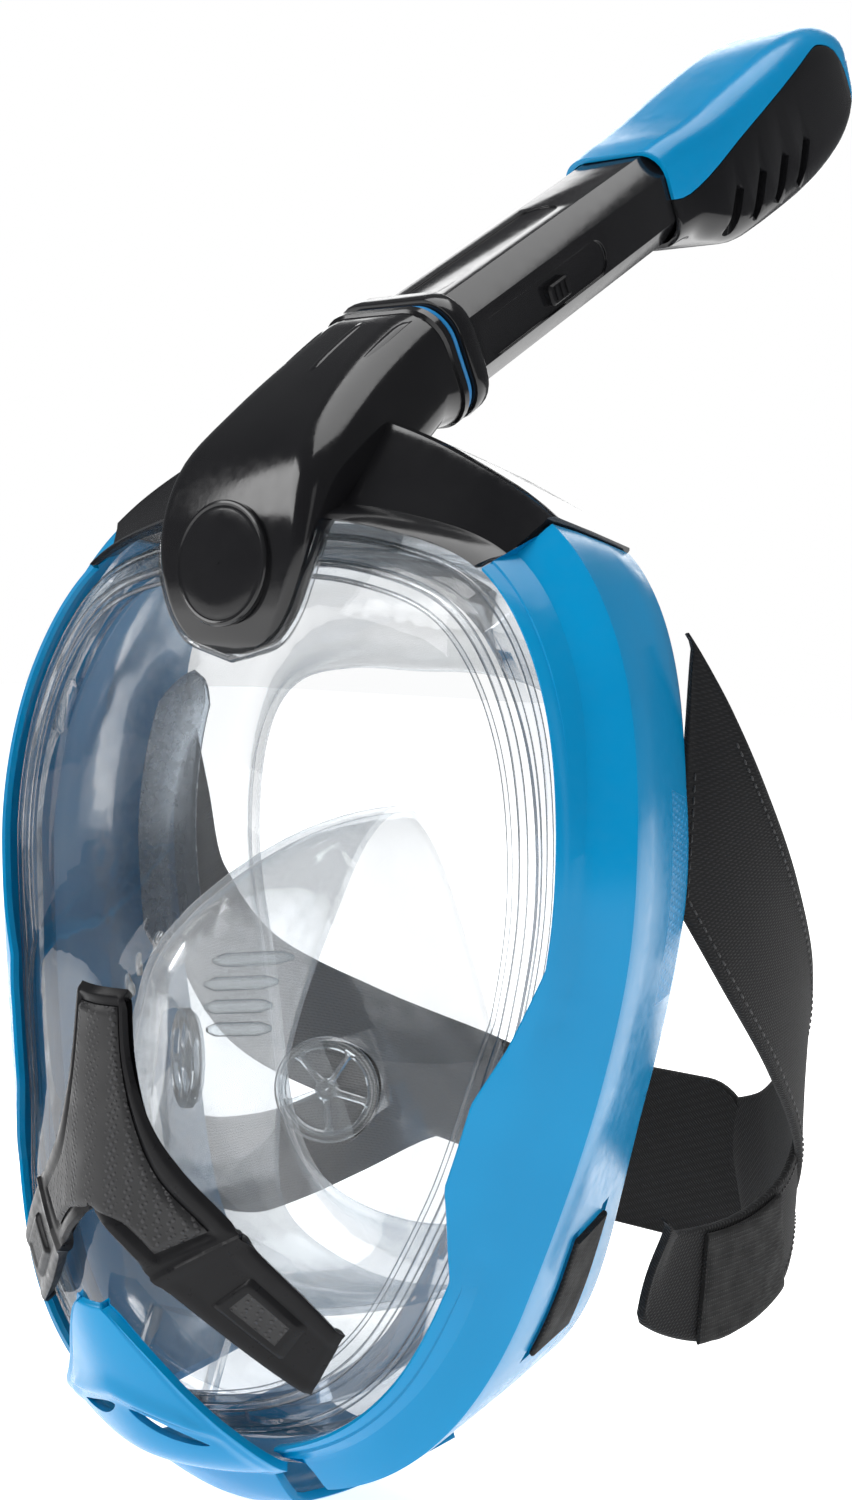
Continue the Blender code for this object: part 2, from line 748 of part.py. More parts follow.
def make_valves():
    for label, side in (("left", 1), ("right", -1)):
        place, direction = inlet_place(side)
        spoked_seat(f"inlet_valve_seat_{label}", INLET_RADIUS, place, direction)
        membrane(f"inlet_membrane_{label}", INLET_RADIUS - 1.2, -2.0, place, direction)
    spoked_seat("purge_valve_seat", PURGE_RADIUS, PURGE_PLACE, PURGE_AXIS, spokes=4)
    membrane("purge_membrane", PURGE_RADIUS - 1.0, 2.0, PURGE_PLACE, PURGE_AXIS)


# ---------------------------------------------------------------- harness

UPPER_ARM_LEFT = [(90.5, -10, 60), (92, -4, 46), (93.5, 8, 24), (93, 28, 0), (87, 56, -26),
                  (74, 86, -52), (55, 106, -76)]
UPPER_ARM_RIGHT = [(-90.5, -10, 60), (-92, -5, 42), (-93.5, 2, 16), (-93, 11, -12), (-89, 32, -38),
                   (-76, 67, -56), (-56, 100, -72)]
LOWER_ARM = [(80, 3, -93), (81, 27, -95), (80.5, 48, -96), (77.5, 68, -96.5), (73, 87, -96)]
STRAP_THICK = 2.4
STRAP_FRONT_Y = REAR_Y + 0.7   # the straps are cut along the frame's rear edge
HEAD_MIDDLE_Y = 42
UPPER_WIDTH = 38.0
LOWER_WIDTH = 32.0
PAD_MIDDLE = (0, 117, -88)
SLOT_TURNS = (0.328, 0.374)
SLOT_FRONT_Y = (-28.0, -25.0)
SLOT_REAR_Y = (-15.5, -12.5)


def strap(name, route, width, thick=STRAP_THICK, count=14):
    """A flat band along a route, lying as if round the wearer's head."""
    rings = []
    side = 0
    for k in range(count + 1):
        t = k / count
        point = Vector(catmull(route, t))
        ahead = Vector(catmull(route, min(t + 0.01, 1))) - Vector(catmull(route, max(t - 0.01, 0)))
        ahead.normalize()
        out = Vector((point.x, point.y - HEAD_MIDDLE_Y, 0))
        out = (out - ahead * out.dot(ahead)).normalized()
        across = ahead.cross(out)
        side = side or (1 if across.y < 0 else -1)
        across *= side
        front = width / 2
        if across.y < -0.2:
            front = min(front, (point.y - STRAP_FRONT_Y) / -across.y)
        middle = (front - width / 2) / 2
        rings.append([tuple(point + across * u + out * (thick / 2 * v))
                      for u, v in ((front, 1), (middle, 1), (-width / 2, 1), (-width / 2, -1),
                                   (middle, -1), (front, -1))])
    return add_object(name, loft(rings), fabric())


def side_strip(name, depths, front, rear, turns, mat=None):
    """A block lying along the frame's side, a cutter where it has no material.

    The depths are measured in from the frame's outer face.
    """
    rings = []
    for k in range(7):
        turn = turns[0] + (turns[1] - turns[0]) * k / 6
        slope = rear_inset(turn) / (REAR_Y - CREASE_Y)
        corners = ((depths[0], front), (depths[0], rear), (depths[1], rear), (depths[1], front))
        rings.append([at(turn, slope * (y - CREASE_Y) + d, y) for d, y in corners])
    if mat:
        return add_object(name, loft(rings), mat)
    return cutter(name, loft(rings))


def make_harness():
    strap("upper_strap_left", UPPER_ARM_LEFT, UPPER_WIDTH)
    strap("upper_strap_right", UPPER_ARM_RIGHT, UPPER_WIDTH)
    mirror_x(strap("lower_strap_left", LOWER_ARM, LOWER_WIDTH), "lower_strap_right")
    px, py, pz = PAD_MIDDLE
    rings = [[(px + x, py + y, pz + z) for x, z in rounded(40, 26, 16, 5)] for y in (0, 3.2)]
    add_object("back_pad", loft(rings), fabric())
    start, end = SLOT_TURNS
    loop = side_strip("strap_loop_left", (-2.0, -0.4), SLOT_FRONT_Y[1] - 1.5, SLOT_REAR_Y[0] + 1.5,
                      (start + 0.003, end - 0.003), fabric())
    mirror_x(loop, "strap_loop_right")


def main():
    global parts, cutters
    clear_scene()
    parts = new_collection(PARTS)
    cutters = new_collection("cutters")
    make_lens()
    make_frame()
    make_crown()
    make_crown_disc()
    make_gasket()
    make_tube()
    make_latch()
    make_head()
    make_float()
    make_trim()
    make_inlay()
    make_pad("trim_pad_left", 0.74, 0.9, 1)
    make_pad("trim_pad_right", 0.74, 0.9, -1)
    make_chin_cap()
    make_skirt()
    make_pocket()
    make_valves()
    make_harness()


main()
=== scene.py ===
"""Full-face snorkel mask: the detailed look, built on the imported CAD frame.

+Z is up, the mask looks along -Y and +X is the wearer's left. Lengths are in millimetres in the
tables and functions below; MM turns them into metres.
"""

import math

import bmesh
import bpy
from mathutils import Matrix, Vector


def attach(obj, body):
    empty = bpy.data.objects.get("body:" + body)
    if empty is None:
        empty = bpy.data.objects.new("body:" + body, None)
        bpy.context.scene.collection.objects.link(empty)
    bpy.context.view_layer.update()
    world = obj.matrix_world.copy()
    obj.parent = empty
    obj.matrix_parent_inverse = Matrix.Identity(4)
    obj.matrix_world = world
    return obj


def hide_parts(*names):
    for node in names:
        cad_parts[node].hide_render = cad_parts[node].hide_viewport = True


MM = 0.001


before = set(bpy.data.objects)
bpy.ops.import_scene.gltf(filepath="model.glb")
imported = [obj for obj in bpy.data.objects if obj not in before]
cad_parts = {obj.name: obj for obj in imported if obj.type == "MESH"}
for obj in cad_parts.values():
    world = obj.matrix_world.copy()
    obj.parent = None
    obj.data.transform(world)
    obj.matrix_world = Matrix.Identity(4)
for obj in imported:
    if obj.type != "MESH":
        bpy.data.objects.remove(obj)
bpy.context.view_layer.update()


# ---------------------------------------------------------------- node helpers

class Nodes:
    """A material's node tree with short calls for the nodes used here."""

    def __init__(self, name):
        self.mat = bpy.data.materials.new(name)
        self.mat.use_nodes = True
        self.tree = self.mat.node_tree
        self.shader = self.tree.nodes["Principled BSDF"]
        self.out = self.tree.nodes["Material Output"]
        self.coords = self.tree.nodes.new("ShaderNodeTexCoord")

    def node(self, kind, inputs=None, **props):
        made = self.tree.nodes.new(kind)
        for key, value in props.items():
            setattr(made, key, value)
        for key, value in (inputs or {}).items():
            self.put(made.inputs[key], value)
        return made

    def put(self, socket, value):
        if isinstance(value, bpy.types.NodeSocket):
            self.tree.links.new(value, socket)
        else:
            socket.default_value = value

    def set(self, **values):
        for key, value in values.items():
            self.put(self.shader.inputs[key.replace("_", " ")], value)

    def place(self, turn):
        return self.node("ShaderNodeMapping", {"Vector": self.coords.outputs["Object"],
                                               "Rotation": turn}).outputs["Vector"]

    def noise(self, scale, detail=3.0, rough=0.55):
        return self.node("ShaderNodeTexNoise", {"Vector": self.coords.outputs["Object"], "Scale": scale,
                                                "Detail": detail, "Roughness": rough}).outputs["Fac"]

    def ramp(self, value, low, high, to_low, to_high):
        return self.node("ShaderNodeMapRange", {"Value": value, "From Min": low, "From Max": high,
                                                "To Min": to_low, "To Max": to_high}).outputs["Result"]

    def math(self, operation, a, b=0.0):
        return self.node("ShaderNodeMath", {0: a, 1: b}, operation=operation).outputs[0]

    def mix(self, share, a, b):
        made = self.node("ShaderNodeMix", {0: share}, data_type="RGBA")
        self.put(made.inputs[6], a)
        self.put(made.inputs[7], b)
        return made.outputs[2]

    def bump(self, height, distance, strength=1.0):
        return self.node("ShaderNodeBump", {"Height": height, "Distance": distance,
                                            "Strength": strength}).outputs["Normal"]


def gloss(name, color, dark, roughness, grain=0.00002, specular=0.5):
    """Moulded gloss plastic: slight flow marks, orange peel and handling haze."""
    n = Nodes(name)
    flow = n.noise(22, 2.0)
    haze = n.noise(260, 4.0, 0.6)
    peel = n.noise(700, 2.0)
    n.set(Base_Color=n.mix(n.ramp(flow, 0.35, 0.65, 0, 1), (*dark, 1), (*color, 1)))
    n.set(Roughness=n.ramp(haze, 0.3, 0.7, roughness * 0.75, roughness * 1.35))
    n.set(Normal=n.bump(peel, grain, 0.5))
    n.set(Specular_IOR_Level=specular)
    return n.mat


def dotted(name, color, roughness, pitch, height, ground=None):
    """A moulded grip of small round pips in rows. The pips' tops are painted lighter than the ground
    between them, a painted highlight on the raised pips. Where a darker ground is given, it is painted
    shade between them.
    """
    n = Nodes(name)
    cells = n.node("ShaderNodeTexVoronoi", {"Vector": n.place((0, 0.6, 0)),
                                            "Scale": 1 / (pitch * MM), "Randomness": 0.0},
                   feature="F1")
    pips = n.ramp(cells.outputs["Distance"], 0.18, 0.42, 1, 0)
    # this noise varies the roughness, and how strongly the painted highlight lightens each pip
    wear_and_highlight = n.noise(140, 3.0)
    # painted highlight on the pips' raised tops, over a ground that is painted darker as shade between
    # them
    n.set(Base_Color=n.mix(n.math("MULTIPLY", pips, n.ramp(wear_and_highlight, 0.3, 0.7, 0.4, 1)),
                           (*(ground or color), 1), (*[min(1, c * 1.6 + 0.004) for c in color], 1)))
    n.set(Roughness=n.ramp(wear_and_highlight, 0.3, 0.7, roughness * 0.85, roughness * 1.15))
    n.set(Normal=n.bump(pips, height * MM, 1.0))
    return n.mat


def knit(name, color, scale, roughness=0.92, depth=0.00018, sheen=0.25):
    """Knitted or woven strap cloth: crossed ribs with fluff between them. The raised weave and fluff are
    painted lighter than the cloth, a painted sheen on the yarn, stronger in random patches.
    """
    n = Nodes(name)
    ribs, cross = (n.node("ShaderNodeTexWave", {"Vector": n.place(turn), "Scale": scale,
                                                "Distortion": 1.2, "Detail": 1.0,
                                                "Detail Scale": 2.0}).outputs["Fac"]
                   for turn in ((0.5, 0.3, 0.8), (-0.6, 0.9, -0.5)))
    fluff = n.noise(1500, 3.0, 0.7)
    weave = n.math("ADD", n.math("MULTIPLY", ribs, cross), n.math("MULTIPLY", fluff, 0.7))
    patches = n.noise(30, 3.0, 0.5)
    # painted sheen: the lighter colour that the raised weave and fluff are painted towards
    painted_sheen_color = tuple(min(1.0, c * 2.4 + 0.006) for c in color)
    n.set(Base_Color=n.mix(n.math("MULTIPLY", n.ramp(weave, 0.3, 1.2, 0, 1),
                                  n.ramp(patches, 0.3, 0.7, 0.35, 0.8)), (*color, 1), (*painted_sheen_color, 1)))
    n.set(Roughness=n.ramp(fluff, 0.3, 0.7, roughness * 0.92, 1.0))
    n.set(Sheen_Weight=sheen, Sheen_Roughness=0.5, Specular_IOR_Level=0.25)
    n.set(Normal=n.bump(weave, depth, 0.8))
    return n.mat


def see_through(name, tint, edge_tint, gloss_gain, roughness, haze=0.0, haze_color=(1, 1, 1),
                ripple=0.0, edge_power=2.0):
    """A clear wall: it passes light straight through, mirrors by Fresnel and darkens edge-on."""
    n = Nodes(name)
    n.tree.nodes.remove(n.shader)
    wave = n.noise(45, 2.0, 0.5)
    normal = n.bump(wave, ripple, 1.0)
    facing = n.node("ShaderNodeLayerWeight", {"Blend": 0.5, "Normal": normal}).outputs["Facing"]
    edge = n.math("POWER", facing, edge_power)
    clear = n.node("ShaderNodeBsdfTransparent", {"Color": n.mix(edge, (*tint, 1), (*edge_tint, 1))})
    mirror = n.node("ShaderNodeBsdfGlossy", {"Roughness": n.ramp(n.noise(300, 3.0), 0.3, 0.7,
                                                                 roughness * 0.7, roughness * 1.4),
                                             "Normal": normal})
    fresnel = n.node("ShaderNodeFresnel", {"IOR": 1.5, "Normal": normal}).outputs["Fac"]
    share = n.math("MINIMUM", n.math("MULTIPLY", fresnel, gloss_gain), 1.0)
    shown = n.node("ShaderNodeMixShader", {0: share, 1: clear.outputs[0], 2: mirror.outputs[0]})
    if haze:
        cloud = n.node("ShaderNodeBsdfDiffuse", {"Color": (*haze_color, 1)})
        amount = n.math("MULTIPLY", n.ramp(edge, 0, 1, 0.5, 1.6), haze)
        shown = n.node("ShaderNodeMixShader", {0: amount, 1: shown.outputs[0], 2: cloud.outputs[0]})
    n.put(n.out.inputs["Surface"], shown.outputs[0])
    return n.mat


BLUE = gloss("blue_plastic_gloss", (0.0, 0.235, 0.49), (0.0, 0.215, 0.455), 0.20, specular=0.25)
BLUE_PANEL = dotted("blue_panel_texture", (0.0, 0.21, 0.45), 0.34, 1.5, 0.2)
BLUE_RUBBER = gloss("blue_rubber_satin", (0.0, 0.22, 0.55), (0.0, 0.19, 0.48), 0.45, grain=0.00004)
BLACK = gloss("black_plastic_gloss", (0.010, 0.010, 0.011), (0.006, 0.006, 0.007), 0.13, specular=0.4)
SATIN = gloss("black_plastic_satin", (0.011, 0.011, 0.012), (0.008, 0.008, 0.009), 0.32,
              specular=0.12)
INNER_BLACK = gloss("black_plastic_inner", (0.03, 0.03, 0.032), (0.02, 0.02, 0.021), 0.55)
GRIP = dotted("grip_rubber_pips", (0.016, 0.016, 0.018), 0.5, 1.55, 0.22, (0.005, 0.005, 0.006))
FABRIC = knit("strap_knit", (0.006, 0.006, 0.0065), 420, sheen=0.08)
HOOKS = dotted("hook_tape", (0.012, 0.012, 0.013), 0.85, 0.9, 0.25, (0.004, 0.004, 0.004))
THREAD = knit("stitch_thread", (0.028, 0.028, 0.029), 900, 0.8, 0.00005)
LENS = see_through("clear_lens_polished", (0.985, 0.99, 0.995), (0.80, 0.86, 0.90), 0.45, 0.03,
                   ripple=0.0002, edge_power=3.5)
RIM = see_through("clear_lens_rim", (0.975, 0.982, 0.99), (0.50, 0.58, 0.66), 0.8, 0.03,
                  ripple=0.0005, edge_power=2.6)
VALVE = see_through("clear_valve_plastic", (0.90, 0.92, 0.93), (0.26, 0.33, 0.38), 1.2, 0.06,
                    haze=0.10, ripple=0.0002, edge_power=1.5)
SKIN = see_through("clear_silicone_skin", (0.975, 0.982, 0.987), (0.76, 0.81, 0.85), 0.4, 0.12,
                   haze=0.16, ripple=0.0006, edge_power=3.2)
PAD_SKIN = see_through("clear_silicone_pad", (0.74, 0.78, 0.82), (0.40, 0.45, 0.50), 0.9, 0.25,
                       haze=0.18, haze_color=(0.7, 0.73, 0.77), ripple=0.0001)


# ---------------------------------------------------------------- mesh helpers

def piece(name, bm, mats, body="root", smooth=40.0, replaces=()):
    """Adds a mesh in metres as a piece riding on a body."""
    mesh = bpy.data.meshes.new(name)
    bmesh.ops.recalc_face_normals(bm, faces=bm.faces)
    if bm.calc_volume(signed=True) < 0:
        bmesh.ops.reverse_faces(bm, faces=bm.faces)
    bm.to_mesh(mesh)
    bm.free()
    obj = bpy.data.objects.new(name, mesh)
    bpy.context.scene.collection.objects.link(obj)
    for mat in mats if isinstance(mats, (list, tuple)) else [mats]:
        mesh.materials.append(mat)
    mesh.shade_smooth()
    mesh.set_sharp_from_angle(angle=math.radians(smooth))
    if body:
        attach(obj, body)
    if replaces:
        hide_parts(*replaces)
    return obj


def bake(obj, smooth):
    """Applies the object's modifiers and shades it again."""
    bpy.context.view_layer.update()
    depsgraph = bpy.context.evaluated_depsgraph_get()
    mesh = bpy.data.meshes.new_from_object(obj.evaluated_get(depsgraph))
    obj.modifiers.clear()
    old = obj.data
    obj.data = mesh
    bpy.data.meshes.remove(old)
    mesh.shade_smooth()
    mesh.set_sharp_from_angle(angle=math.radians(smooth))


def bevel(obj, width, segments, angle, smooth):
    mod = obj.modifiers.new("bevel", "BEVEL")
    mod.width = width * MM
    mod.segments = segments
    mod.limit_method = "ANGLE"
    mod.angle_limit = math.radians(angle)
    bake(obj, smooth)


def solidify(obj, thickness, smooth):
    """Gives a sheet a thickness that grows back towards the wearer."""
    facing_y = sum(p.normal.y * p.area for p in obj.data.polygons)
    mod = obj.modifiers.new("wall", "SOLIDIFY")
    mod.thickness = thickness * MM
    mod.offset = -1.0 if facing_y < 0 else 1.0
    bake(obj, smooth)


def boolean(obj, bm, smooth, operation="DIFFERENCE"):
    """Cuts a closed bmesh out of the object, or keeps only what is inside it."""
    other = piece("tool", bm, [], body=None)
    mod = obj.modifiers.new("cut", "BOOLEAN")
    mod.object = other
    mod.operation = operation
    mod.solver = "EXACT"
    bake(obj, smooth)
    mesh = other.data
    bpy.data.objects.remove(other, do_unlink=True)
    bpy.data.meshes.remove(mesh)


def loft(rings, closed_ring=True, closed_path=False, caps=True, bm=None):
    """A skin through rings of points in millimetres."""
    bm = bm or bmesh.new()
    rows = [[bm.verts.new(Vector(p) * MM) for p in ring] for ring in rings]
    count = len(rings[0])
    spans = len(rows) if closed_path else len(rows) - 1
    for i in range(spans):
        a, b = rows[i], rows[(i + 1) % len(rows)]
        for j in range(count if closed_ring else count - 1):
            k = (j + 1) % count
            bm.faces.new((a[j], a[k], b[k], b[j]))
    if caps and closed_ring and not closed_path:
        bm.faces.new(rows[0])
        bm.faces.new(list(reversed(rows[-1])))
    return bm


def dome(rings):
    """An open skin whose last ring is filled."""
    bm = loft(rings, caps=False)
    bm.verts.ensure_lookup_table()
    bm.faces.new([bm.verts[k] for k in range(len(bm.verts) - len(rings[0]), len(bm.verts))])
    return bm


def on_side(side, points):
    """Points of the wearer's left, or their mirror image for side -1."""
    return [(side * x, y, z) for x, y, z in points]


def mirrored(bm):
    other = bm.copy()
    other.transform(Matrix.Scale(-1, 4, (1, 0, 0)))
    bmesh.ops.reverse_faces(other, faces=other.faces)
    return other


def placed(direction, place):
    """A matrix that turns +Z to the direction and moves to the place, in millimetres."""
    turn = Vector((0, 0, 1)).rotation_difference(Vector(direction).normalized())
    return Matrix.Translation(Vector(place) * MM) @ turn.to_matrix().to_4x4()


def lathe(profile, segments=64, bm=None):
    """A closed turned ring from (radius, height) points in millimetres, about Z."""
    rings = [[(r * math.cos(a), r * math.sin(a), h) for r, h in profile]
             for a in (math.tau * k / segments for k in range(segments))]
    return loft(rings, closed_path=True, bm=bm)


def join(bm, other):
    """Adds another bmesh's faces to this one and frees it."""
    mesh = bpy.data.meshes.new("joined")
    other.to_mesh(mesh)
    other.free()
    bm.from_mesh(mesh)
    bpy.data.meshes.remove(mesh)
    return bm


def rounded(half_w, half_d, radius, corner=4):
    """A rounded rectangle as points, counter-clockwise."""
    radius = min(radius, half_w - 0.01, half_d - 0.01)
    points = []
    for quarter, (sx, sy) in enumerate(((1, 1), (-1, 1), (-1, -1), (1, -1))):
        for k in range(corner + 1):
            a = math.radians(90 * (quarter + k / corner))
            points.append((sx * (half_w - radius) + radius * math.cos(a),
                           sy * (half_d - radius) + radius * math.sin(a)))
    return points


# ---------------------------------------------------------------- shared curves, as in the CAD

OUTLINE = [(0, 114), (42, 111), (77, 98), (100, 66), (109, 22), (104, -26), (90, -74), (71, -112),
           (42, -133), (0, -140)]
SIDES = (("left", 1), ("right", -1))
CENTER_Z = -10
REAR_Y = -4
CREASE_Y = -40
FLANGE_INSET = 13
FLANGE_Y = -50
FRAME_WALL = 2.6
FRAME_TOP_TURN = 0.107
FRAME_CHIN_TURN = 0.452
LENS_INSET = 14.0
LENS_RIM_Y = -45.0
WINDOW_Y = -67.0
SNOUT_REACH = 40.0
AROUND = 240


def catmull(points, t):
    """A point on a smooth curve through the points; t runs from 0 to 1."""
    n = len(points) - 1
    x = min(max(t, 0.0), 1.0) * n
    i = min(int(x), n - 1)
    f = x - i
    p0, p1, p2, p3 = (points[min(max(k, 0), n)] for k in (i - 1, i, i + 1, i + 2))
    return tuple(
        0.5 * (2 * b + (c - a) * f + (2 * a - 5 * b + 4 * c - d) * f * f
               + (3 * b - a - 3 * c + d) * f ** 3)
        for a, b, c, d in zip(p0, p1, p2, p3))


def half_curve(points, turn):
    """A closed curve given by its right half, at a share of a turn from the top."""
    turn %= 1.0
    side = 1 if turn <= 0.5 else -1
    t = turn * 2 if turn <= 0.5 else (1 - turn) * 2
    full = [(-points[1][0], points[1][1])] + points + [(-points[-2][0], points[-2][1])]
    n = len(points) - 1
    x, z = catmull(full, (1 + t * n) / (n + 2))
    return side * x, z


def inset(turn, distance):
    """The outline moved in towards the middle."""
    x, z = half_curve(OUTLINE, turn)
    dz = z - CENTER_Z
    share = 1 - distance / math.hypot(x, dz)
    return x * share, CENTER_Z + dz * share


def ramp(a, b, x):
    """0 up to a, 1 from b on, and straight between."""
    return min(max((x - a) / (b - a), 0.0), 1.0)


def smooth(a, b, x):
    """As ramp, with soft ends."""
    t = ramp(a, b, x)
    return t * t * (3 - 2 * t)


def forward(z):
    """How far the frame's crease and the lens's rim come forward on the way down."""
    return 1 + 10 * smooth(114, 10, z) + 6 * smooth(10, -80, z) + 9 * smooth(-80, -140, z)


def lean_at(turn):
    return forward(half_curve(OUTLINE, turn)[1])


def at(turn, distance, y):
    """A point on the ring; y is for the crown's end of it, and leans forward with the crease."""
    x, z = inset(turn, distance)
    return x, y - lean_at(turn) * ramp(REAR_Y, CREASE_Y, y), z


def snout(x, z):
    """How far the lens stands out past its window round the nose and mouth."""
    rise = smooth(42, -14, z) * (1 - 0.42 * smooth(-70, -130, z))
    half = 26 + 52 * smooth(36, -30, z)
    across = abs(x) / half
    crown = math.sqrt(across * across + 0.02) - math.sqrt(0.02)
    return SNOUT_REACH * rise * max(0.0, 1 - crown) ** 1.15


def lens_y(x, z, s):
    """The outer face of the lens; s is 0 in the middle and 1 at the rim."""
    squareness = 6 + 18 * smooth(-50, -112, z)
    edge = max(0.0, 1 - s ** squareness) ** 0.5
    rim = LENS_RIM_Y - forward(z)
    return rim + (WINDOW_Y - rim - snout(x, z)) * edge


def rim_table():
    """Polar angle and radius of the lens's rim, seen from the front."""
    table = []
    for k in range(0, 721):
        x, z = inset(k / 1440, LENS_INSET)
        table.append((math.atan2(x, z - CENTER_Z), math.hypot(x, z - CENTER_Z)))
    return table


RIM_TABLE = rim_table()


def share_at(x, z):
    """Where a point lies between the lens's middle, 0, and its rim, 1."""
    angle = math.atan2(abs(x), z - CENTER_Z)
    low, high = 0, len(RIM_TABLE) - 1
    while high - low > 1:
        middle = (low + high) // 2
        if RIM_TABLE[middle][0] <= angle:
            low = middle
        else:
            high = middle
    (a, ra), (b, rb) = RIM_TABLE[low], RIM_TABLE[high]
    f = min(max((angle - a) / (b - a), 0.0), 1.0)
    return math.hypot(x, z - CENTER_Z) / (ra + (rb - ra) * f)


def surface_y(x, z):
    return lens_y(x, z, min(share_at(x, z), 1.0))


def lens_face(turn, distance):
    x, z = inset(turn, distance)
    return surface_y(x, z)


def rear_inset(turn):
    """The rear edge tucks in most beside the temples."""
    turn = min(turn % 1, 1 - turn % 1)
    return 6 + 11 * smooth(0.1, 0.2, turn) * (1 - 0.5 * smooth(0.3, 0.4, turn))


# ---------------------------------------------------------------- lens

SHELL_SHARES = [1.0, 0.997, 0.992, 0.985, 0.975, 0.962, 0.945, 0.925, 0.90, 0.87, 0.83, 0.78, 0.72,
                0.65, 0.58, 0.5, 0.42, 0.34, 0.26, 0.18, 0.1, 0.04]
RIM_STEPS = [  # the rim wall's closed section: share of the rim, depth behind the outer face
    (0.995, 2.0), (0.955, 1.4), (0.945, 3.2), (0.925, 3.4), (0.918, 5.4), (0.90, 5.6),
    (0.893, 8.0), (0.905, 11.0), (0.94, 13.5), (0.985, 9.0)]
RIM_BEADS = [(0.962, 0.9), (0.905, 1.2), (0.872, 0.7)]  # share of the rim, radius


def rim_point(turn, s):
    """Across and up, at a share of the way from the lens's middle to its rim."""
    x, z = inset(turn, LENS_INSET)
    return x * s, CENTER_Z + (z - CENTER_Z) * s


def shell_ring(s):
    spots = [rim_point(k / AROUND, s) for k in range(AROUND)]
    return [(x, lens_y(x, z, s), z) for x, z in spots]


def make_lens():
    """The polished shell, with the thick stepped wall of its rim as a second clear piece."""
    bm = dome([shell_ring(s) for s in SHELL_SHARES])
    lens = piece("lens_shell", bm, LENS, smooth=50, replaces=["lens"])
    boolean(lens, drill(PURGE_PORT, 40, PURGE_PLACE, PURGE_AXIS), 50)
    rings = []
    for k in range(AROUND):
        ring = []
        for s, depth in RIM_STEPS:
            x, z = rim_point(k / AROUND, s)
            ring.append((x, min(lens_y(x, z, s) + depth, LENS_RIM_Y + 3.0 - forward(z)), z))
        rings.append(ring)
    piece("lens_rim_wall", loft(rings, closed_path=True), RIM, smooth=25,
          replaces=["lens"])
    beads = bmesh.new()
    for share, radius in RIM_BEADS:
        rings = []
        for k in range(AROUND):
            x, z = rim_point(k / AROUND, share)
            y = lens_y(x, z, share) + 0.4
            long = math.hypot(x, z - CENTER_Z)
            ring = []
            for m in range(8):
                a = math.tau * m / 8
                out = radius * math.cos(a) / long
                ring.append((x * (1 + out), y + radius * math.sin(a), z + (z - CENTER_Z) * out))
            rings.append(ring)
        loft(rings, closed_path=True, bm=beads)
    piece("lens_rim_beads", beads, RIM, smooth=60, replaces=["lens"])


# ---------------------------------------------------------------- side frames

def wing_at(turn):
    """1 where the frame's flange spreads into the wing beside the nose, else 0."""
    return ramp(0.248, 0.292, turn % 1) * (1 - ramp(0.32, 0.345, turn % 1))


def flange_y(turn, d):
    """The flange's outer face: a slope off the crease, kept clear of the lens that it covers."""
    y = CREASE_Y + (FLANGE_Y - CREASE_Y) * min(d / FLANGE_INSET, 1.0)
    if d + 3.5 > LENS_INSET:
        y = min(y, *(lens_face(turn, d + step) + lean_at(turn) - FRAME_WALL - 1.0
                     for step in (0, 1.5, 3)))
    return y


def frame_outer(turn):
    """Open outer section of a side frame, from its rear edge over the crease to the lens."""
    wing = wing_at(turn)
    tuck = rear_inset(turn)
    points = [(tuck + 1.0, REAR_Y + 0.3), (tuck, REAR_Y - 1.4), (tuck * 0.62, CREASE_Y + 22.4),
              (tuck * 0.30, CREASE_Y + 11.0), (0.55, CREASE_Y + 1.3), (0.25, CREASE_Y - 0.5),
              (1.6, CREASE_Y - 1.7)]
    for flat, wide in ((5, 6.2), (8, 10), (10, 12.6), (11.5, 14.8), (12.6, 17), (13.6, 21.4)):
        d = flat + (wide - flat) * wing
        points.append((d, flange_y(turn, d)))
    d, y = points[-1]
    return points + [(d + 0.75, y + 0.5), (d + 1.0, y + 2.2)]


def frame_inner(turn):
    w = FRAME_WALL
    tuck = rear_inset(turn)
    d, y = frame_outer(turn)[-3]
    return [(d * 0.85, y + w), (8 + 2 * wing_at(turn), CREASE_Y - 3.6), (w + 1.6, CREASE_Y + 2.0),
            (tuck * 0.5 + w, CREASE_Y + 19), (tuck + w, REAR_Y + 0.2)]


PANEL_TURNS = (0.195, 0.262)             # where the textured side panel lies round the frame
SLOT_TURNS = (0.328, 0.374)              # where the strap slots lie
SLOT_CUTS = ((-28, -25), (-15.5, -12.5))  # front and rear edge of each slot


def make_frames():
    rings = []
    count = 150
    for k in range(count + 1):
        turn = FRAME_TOP_TURN + 0.0008 + (FRAME_CHIN_TURN - FRAME_TOP_TURN - 0.0008) * k / count
        rings.append([at(turn, d, y) for d, y in frame_outer(turn) + frame_inner(turn)])
    bm = loft(rings)
    bm.faces.ensure_lookup_table()
    for k in range(count):
        turn = FRAME_TOP_TURN + (FRAME_CHIN_TURN - FRAME_TOP_TURN) * k / count
        if PANEL_TURNS[0] < turn < PANEL_TURNS[1]:
            bm.faces[k * len(rings[0]) + 1].material_index = 1
    for (name, side), made in zip(SIDES, (bm, mirrored(bm))):
        obj = piece(f"side_frame_{name}", made, [BLUE, BLUE_PANEL], smooth=28,
                    replaces=[f"frame_{name}"])
        for front, rear in SLOT_CUTS:
            boolean(obj, slot_block(front, rear, side), 28)


def side_point(turn, depth, y):
    """A point on the frame's side wall; depth is measured in from its outer face."""
    slope = rear_inset(turn) / (REAR_Y - CREASE_Y)
    return at(turn, slope * (y - CREASE_Y) + depth, y)


def slot_block(front, rear, side):
    """The block that cuts one strap slot through the side wall."""
    rings = []
    for k in range(17):
        turn = SLOT_TURNS[0] + (SLOT_TURNS[1] - SLOT_TURNS[0]) * k / 16
        corners = ((-6, front), (-6, rear), (8, rear), (8, front))
        rings.append(on_side(side, [side_point(turn, d, y) for d, y in corners]))
    return loft(rings)


# ---------------------------------------------------------------- crown and snorkel

